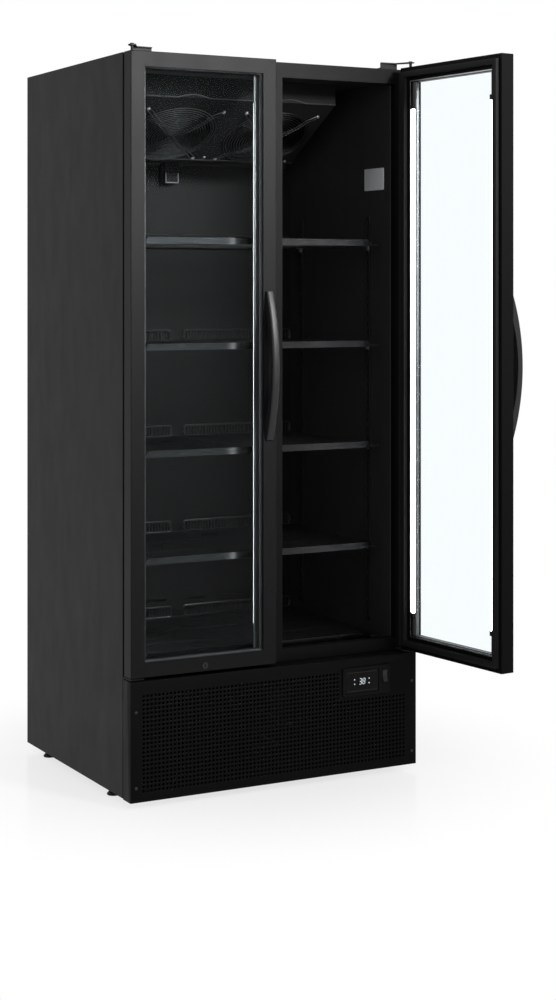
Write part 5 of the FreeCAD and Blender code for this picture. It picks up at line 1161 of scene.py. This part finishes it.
class MERCH_OT_pilasters(bpy.types.Operator):
    """Build the folded and slotted strips that carry the shelves"""
    bl_idname = "merch.pilasters"
    bl_label = "Pilasters"

    def execute(self, context):
        sizes = context.scene.merchandiser.cell
        low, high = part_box("pilasters")
        width, fold = sizes.strip_width, sizes.strip_fold
        bm = bmesh.new()
        for hand in (-1, 1):
            for start in (low.y, high.y - width):
                self.strip(bm, hand * (high.x - fold), hand * fold, start, low.z, sizes)
        strips = piece("slotted_pilasters", bm, "pilaster_steel", "cabinet", ["pilasters"])
        walled(strips, sizes.strip_sheet)
        return {"FINISHED"}

    def strip(self, bm, face, fold, start, foot, sizes):
        """A ladder of slots in a face, and a fold back to the wall along both of its edges."""
        count = int((sizes.strip_top - foot) / sizes.slot_pitch)
        verts = bmesh.ops.create_grid(bm, x_segments=3, y_segments=2 * count, size=0.5)["verts"]
        half_slot = sizes.slot_width / sizes.strip_width / 2
        shares = (0.0, 0.5 - half_slot, 0.5 + half_slot, 1.0)
        faces = list({item for vert in verts for item in vert.link_faces})
        holes = []
        for item in faces:
            middle = item.calc_center_median()
            row = int((middle.y + 0.5) * 2 * count)
            if abs(middle.x) < 0.1 and row % 2:
                holes.append(item)
        for vert in verts:
            column, row = round((vert.co.x + 0.5) * 3), round((vert.co.y + 0.5) * 2 * count)
            rise = (row // 2 + (row % 2) * sizes.bar_share) * sizes.slot_pitch
            vert.co = (face, start + shares[column] * sizes.strip_width, foot + rise)
        rims = [[edge for vert in verts for edge in vert.link_edges
                 if all(abs(end.co.y - level) < MERGE for end in edge.verts)]
                for level in (start, start + sizes.strip_width)]
        bmesh.ops.delete(bm, geom=holes, context="FACES")
        for rim in rims:
            _, fresh = draw_out(bm, list(set(rim)))
            bmesh.ops.translate(bm, vec=(fold, 0, 0), verts=fresh)


# ---- doors

# The gasket's section, as shares of its width and of its depth.
GASKET_SHAPE = ((0.0, 0.0), (0.0, 0.16), (0.1, 0.3), (0.04, 0.42), (0.08, 0.6), (0.02, 0.72),
                (0.02, 0.94), (0.08, 1.0), (0.92, 1.0), (0.98, 0.94), (0.98, 0.72), (0.9, 0.6),
                (0.96, 0.42), (0.88, 0.3), (1.0, 0.16), (1.0, 0.0))
GROOVE = (0.44, 0.56)        # where the spacer's groove starts and ends, as shares of its depth
BASE_ROUNDING = 0.0008
CAP_SHARE = 1.2              # half the width of a tube's cap, in radii of the tube
CAP_ROUNDING = 0.0018


def door_rings(profile, name, finish, node, sharp=35.0):
    """A mitred ring on each door, in place of a node."""
    for side in HANDS:
        bm = bmesh.new()
        framed_ring(bm, profile, *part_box("door_frame_left"))
        hang(bm, side)
        piece(f"{name}_{side}", bm, finish, f"door_{side}", [f"{node}_{side}"], sharp)


class MERCH_OT_gaskets(bpy.types.Operator):
    """Build the lobed door gaskets"""
    bl_idname = "merch.gaskets"
    bl_label = "Door Gaskets"

    def execute(self, context):
        sizes = context.scene.merchandiser.door
        near, far = (corner.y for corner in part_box("door_gasket_left"))
        profile = [(sizes.gasket_inset + sizes.gasket_width * across, near + (far - near) * up)
                   for across, up in GASKET_SHAPE]
        door_rings(profile, "gasket", "gasket_rubber", "door_gasket", 50)
        return {"FINISHED"}


class MERCH_OT_spacers(bpy.types.Operator):
    """Build the bright spacers between the panes, a hair proud of the frames' inner edges"""
    bl_idname = "merch.spacers"
    bl_label = "Glass Spacers"

    def execute(self, context):
        sizes = context.scene.merchandiser.door
        spacer_low, spacer_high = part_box("glass_spacer_left")
        outer, inner = spacer_low.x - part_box("door_frame_left")[0].x, sizes.spacer_inset
        near, far = spacer_low.y, spacer_high.y
        start, end = (near + (far - near) * share for share in GROOVE)
        profile = [(outer, near), (inner, near), (inner, start),
                   (inner - sizes.spacer_groove, (near + far) / 2), (inner, end), (inner, far),
                   (outer, far)]
        # Painted shade: the spacers take silver darkened to a third.
        door_rings(profile, "spacer", "dull_silver", "glass_spacer")
        return {"FINISHED"}


class MERCH_OT_lights(bpy.types.Operator):
    """Build the light bars on the inner faces of the doors and the bright strips of the glazing beads"""
    bl_idname = "merch.lights"
    bl_label = "Door Lights"

    def execute(self, context):
        sizes = context.scene.merchandiser.door
        low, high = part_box("door_frame_left")
        light_low, light_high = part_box("door_lights_left")
        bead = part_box("glass_bead_left")[1].y
        half = sizes.base_width / 2
        back, top = light_low.y, light_low.y + sizes.base_height
        start, end = low.z + sizes.tube_foot, high.z - sizes.tube_head
        radius = sizes.tube_radius
        lift = light_high.y - top - radius
        dome = [(-radius, 0)] + [(x, y) for x, y in arc((0, lift), radius, 180, 0, 10)] + [(radius, 0)]
        inner = sizes.bead_inset - sizes.bead_strip
        strip = [(inner, bead), (inner, bead + sizes.bead_rise), (sizes.bead_inset, bead + sizes.bead_rise),
                 (sizes.bead_inset, bead)]
        for side in HANDS:
            bases, tubes, caps, strips = bmesh.new(), bmesh.new(), bmesh.new(), bmesh.new()
            for centre in (light_low.x + half, light_high.x - half):
                slab(bases, (centre - half, back, light_low.z), (centre + half, top, light_high.z),
                     BASE_ROUNDING)
                plate(tubes, [(centre + x, top + y, start) for x, y in dome], (0, 0, end - start))
                for foot in (start - sizes.cap, end):
                    slab(caps, (centre - radius * CAP_SHARE, top, foot),
                         (centre + radius * CAP_SHARE, light_high.y, foot + sizes.cap), CAP_ROUNDING,
                         segments=3)
            framed_ring(strips, strip, low, high)
            for bm in (bases, tubes, caps, strips):
                hang(bm, side)
            body = f"door_{side}"
            piece(f"light_base_{side}", bases, "light_reflector", body, [f"door_lights_{side}"])
            piece(f"light_tube_{side}", tubes, "light_tube", body)
            piece(f"light_caps_{side}", caps, "dark_plastic", body)
            piece(f"bead_strip_{side}", strips, "bright_silver", body)
        return {"FINISHED"}


class MERCH_OT_handles(bpy.types.Operator):
    """Build the bow handles"""
    bl_idname = "merch.handles"
    bl_label = "Handles"

    def execute(self, context):
        sizes = context.scene.merchandiser.door
        low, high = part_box("door_handle_left")
        middle, half = (low.z + high.z) / 2, (high.z - low.z) / 2
        bow = high.y - low.y
        outer = self.bow(middle, half, high.y - sizes.handle_tip, bow - sizes.handle_tip, 28)
        inner = self.bow(middle, half - sizes.handle_pad, high.y, bow - sizes.handle_grip, 20)
        outline = [(high.y, middle - half)] + inner + [(high.y, middle + half)] + list(reversed(outer))
        for side in HANDS:
            bm = bmesh.new()
            plate(bm, [(low.x, y, z) for y, z in outline], (high.x - low.x, 0, 0))
            grip = [edge for edge in bm.edges if self.along(edge, outer)]
            rounded(bm, grip, sizes.handle_round, 5)
            hang(bm, side)
            piece(f"handle_{side}", bm, "handle_plastic", f"door_{side}",
                  [f"door_handle_{side}"], 40)
        return {"FINISHED"}

    def bow(self, middle, half, foot, rise, steps):
        """Points (y, z) of an arc that bulges to the front."""
        radius = (half * half + rise * rise) / (2 * rise)
        sweep = math.degrees(math.asin(half / radius))
        return arc((foot - rise + radius, middle), radius, 180 + sweep, 180 - sweep, steps)

    def along(self, edge, outer):
        """True for an edge that runs along the outer bow, on either cheek of the handle."""
        first, second = (vert.co for vert in edge.verts)
        if abs(first.x - second.x) > MERGE:
            return False
        return all(any(abs(spot.y - y) + abs(spot.z - z) < MERGE for y, z in outer)
                   for spot in (first, second))


# ---- fasteners and feet

# Screws of the lower front: heights, place from the panel's edge, radius and height of a head.
FRONT_SCREW_LEVELS = (0.254, 0.056)
FRONT_SCREW_INSET = 0.015
FRONT_SCREW_RADIUS = 0.0045
FRONT_SCREW_HEIGHT = 0.0022
# Bolts of the upper hinges: places from the panel's edge and along Y, the bracket's plate, and a head.
HINGE_BOLT_INSETS = (0.046, 0.068)
HINGE_BOLT_SPOTS = (-0.333, -0.319)
HINGE_PLATE = 0.003
HINGE_BOLT_RADIUS = 0.0045
HINGE_BOLT_HEIGHT = 0.003
# A foot: its pad as shares of its radius, with heights, then its neck and stem as radii with heights.
PAD_SHAPE = ((0, 0), (0.9, 0), (0.99, 0.0015), (0.99, 0.004))
NECK_SHAPE = ((0.010, 0.0135), (0.0088, 0.0145), (0.0088, 0.0168), (0.0049, 0.017))
STEM_RADIUS = 0.0049


class MERCH_OT_screws(bpy.types.Operator):
    """Build the screws of the lower front and of the upper hinges"""
    bl_idname = "merch.screws"
    bl_label = "Cabinet Screws"

    def execute(self, context):
        low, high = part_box("grille_panel")
        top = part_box("top_panel")[1].z
        bm = bmesh.new()
        for side in (-1, 1):
            for height in FRONT_SCREW_LEVELS:
                spot = Matrix.Translation((side * (high.x - FRONT_SCREW_INSET), low.y, height))
                screw(bm, spot @ UPRIGHT, FRONT_SCREW_RADIUS, FRONT_SCREW_HEIGHT)
            for inset in HINGE_BOLT_INSETS:
                for along in HINGE_BOLT_SPOTS:
                    spot = Matrix.Translation((side * (high.x - inset), along, top + HINGE_PLATE))
                    hexagon_screw(bm, spot, HINGE_BOLT_RADIUS, HINGE_BOLT_HEIGHT)
        piece("cabinet_screw_heads", bm, "zinc_dark", "cabinet", ["cabinet_screws"])
        return {"FINISHED"}


class MERCH_OT_feet(bpy.types.Operator):
    """Build the levelling feet with their stems"""
    bl_idname = "merch.feet"
    bl_label = "Levelling Feet"

    def execute(self, context):
        for node in frame["nodes"]:
            if not node.startswith("foot_"):
                continue
            low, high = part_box(node)
            spot = Matrix.Translation(((low.x + high.x) / 2, (low.y + high.y) / 2, 0))
            radius = min(high.x - low.x, high.y - low.y) / 2
            bm = bmesh.new()
            pad = [(radius * share, height) for share, height in PAD_SHAPE]
            turned(bm, pad + list(NECK_SHAPE) + [(STEM_RADIUS, high.z), (0, high.z)], steps=40,
                   matrix=spot)
            piece("levelling_" + node, bm, "dark_plastic", node, [node])
        return {"FINISHED"}


# ---- finishes of the carried-over nodes

NODE_FINISHES = {
    "sheet_coat": ("side_panel_left", "side_panel_right", "back_panel", "cord_gland"),
    "top_coat": ("top_panel",),
    "frame_coat": ("front_frame", "breaker_strips"),
    "liner_coat": ("inner_liner",),
    "cover_coat": ("evaporator_cover", "drain_cup"),
    "duct_coat": ("rear_duct_panel",),
    "foam_cells": ("insulation_foam",),
    "ticket_rail": ("price_rails",),
    "zinc_plate": ("shelf_clips",),
    "zinc_dark": ("door_lock_left", "door_lock_right"),
    "hinge_coat": ("upper_hinge_brackets", "lower_hinge_brackets"),
    "chassis_coat": ("base_chassis", "condenser_shroud", "condensate_tray"),
    "coil_aluminium": ("evaporator_coil",),
    "coil_coat": ("condenser_coil",),
    "motor_coat": ("fan_motors", "compressor"),
    "fan_plastic": ("condenser_fan",),
    "copper_pipe": ("refrigerant_pipes",),
    "bezel_plastic": ("controller_housing",),
    "rocker_plastic": ("power_rocker",),
    "profile_coat_left": ("door_frame_left",),
    "profile_coat_right": ("door_frame_right",),
    "door_glass": ("door_glass_left", "door_glass_right"),
    "bead_coat": ("glass_bead_left", "glass_bead_right"),
}


class MERCH_OT_finishes(bpy.types.Operator):
    """Make every finish and dress the solids that stay"""
    bl_idname = "merch.finishes"
    bl_label = "Finishes"

    def execute(self, context):
        look = context.scene.merchandiser.look
        pitch = context.scene.merchandiser.door.chip_pitch
        for maker, table in ((coated_steel, COATS), (moulded_plastic, PLASTICS), (bare_metal, METALS)):
            for name, (colour, level, roughness, last) in table.items():
                maker(name, darker(getattr(look, colour), level), roughness, last)
        for side, (colour, roughness, specular) in PROFILES.items():
            door_profile(side, getattr(look, colour), roughness, specular)
        for maker in (foam_cells, door_glass, display_window, gasket_rubber, lit_marks, label_stock,
                      studio_floor):
            maker(look)
        tube_light(look, pitch)
        tube_reflector(look, pitch)
        for finish, nodes in NODE_FINISHES.items():
            for node in nodes:
                solid = frame["nodes"][node].data
                solid.materials.clear()
                solid.materials.append(bpy.data.materials[finish])
        return {"FINISHED"}


# ---- studio

FLOOR_REACH = 12.0
# Each lamp's place, the spot that it faces and its width.
SIDE_LAMP = ((-3.2, -0.6, 2.2), (0.0, 0.0, 1.0), 2.4)
FRONT_LAMP = ((1.0, -3.5, 2.72), (-0.3, -0.4, 1.6), 0.62)
FILL_LAMP = ((-0.6, -3.0, 2.6), (0.2, 0.2, 1.3), 1.2)


class MERCH_OT_studio(bpy.types.Operator):
    """Set up the floor, the world, the lamps and the camera"""
    bl_idname = "merch.studio"
    bl_label = "Studio"

    def execute(self, context):
        scene = context.scene
        sizes = scene.merchandiser.studio
        scene.view_settings.view_transform = "Standard"
        bm = bmesh.new()
        bmesh.ops.create_grid(bm, x_segments=1, y_segments=1, size=FLOOR_REACH)
        floor = settle("studio_floor", bm, "studio_floor")

        world = bpy.data.worlds.new("studio")
        world.use_nodes = True
        scene.world = world
        recipe = Recipe(world.node_tree)
        strength = sizes.world_level + recipe.straight() * (1.0 - sizes.world_level)
        backdrop = recipe.node("ShaderNodeBackground", None,
                               {"Color": (1, 1, 1, 1), "Strength": strength})
        recipe.node("ShaderNodeOutputWorld", None, {"Surface": backdrop})

        lamps = [self.lamp("side_lamp", *SIDE_LAMP, sizes.side_level),
                 self.lamp("front_lamp", *FRONT_LAMP, sizes.front_level, sizes.front_spread),
                 self.lamp("fill_lamp", *FILL_LAMP, sizes.fill_level)]

        camera = bpy.data.objects.new("camera", bpy.data.cameras.new("camera"))
        camera.location = sizes.camera_spot
        camera.rotation_euler = (math.pi / 2, 0, sizes.camera_turn)
        camera.data.lens = sizes.lens
        camera.data.shift_y = sizes.shift
        scene.collection.objects.link(camera)
        scene.camera = camera
        return {"FINISHED"}

    def lamp(self, name, spot, target, size, power, spread=math.pi):
        """A soft square lamp that faces a target, with its beam kept within a spread."""
        data = bpy.data.lights.new(name, "AREA")
        data.size = size
        data.energy = power
        data.spread = spread
        lamp = bpy.data.objects.new(name, data)
        lamp.location = spot
        lamp.visible_transmission = False
        lamp.rotation_euler = (Vector(target) - Vector(spot)).to_track_quat("-Z", "Y").to_euler()
        bpy.context.scene.collection.objects.link(lamp)
        return lamp


# ---- add-on

OPERATORS = (MERCH_OT_finishes, MERCH_OT_grille, MERCH_OT_controller, MERCH_OT_shelves,
             MERCH_OT_guards, MERCH_OT_fans, MERCH_OT_cell, MERCH_OT_pilasters, MERCH_OT_spacers,
             MERCH_OT_gaskets, MERCH_OT_lights, MERCH_OT_handles, MERCH_OT_screws, MERCH_OT_feet,
             MERCH_OT_studio)


class MERCH_PT_panel(bpy.types.Panel):
    """The pieces of the merchandiser, in the order in which they are built"""
    bl_idname = "MERCH_PT_panel"
    bl_label = "Merchandiser"
    bl_space_type = "VIEW_3D"
    bl_region_type = "UI"
    bl_category = "Merchandiser"

    def draw(self, context):
        for operator in OPERATORS:
            self.layout.operator(operator.bl_idname)


CLASSES = (MerchandiserLook, GrilleSizes, ControllerSizes, ShelfSizes, CellSizes, GuardSizes,
           DoorSizes, StudioSizes, Merchandiser) + OPERATORS + (MERCH_PT_panel,)


def register():
    for item in CLASSES:
        bpy.utils.register_class(item)
    bpy.types.Scene.merchandiser = PointerProperty(type=Merchandiser)


def unregister():
    del bpy.types.Scene.merchandiser
    for item in reversed(CLASSES):
        bpy.utils.unregister_class(item)


def main():
    register()
    for operator in OPERATORS:
        group, name = operator.bl_idname.split(".")
        getattr(getattr(bpy.ops, group), name)()


if __name__ == "__main__":
    main()
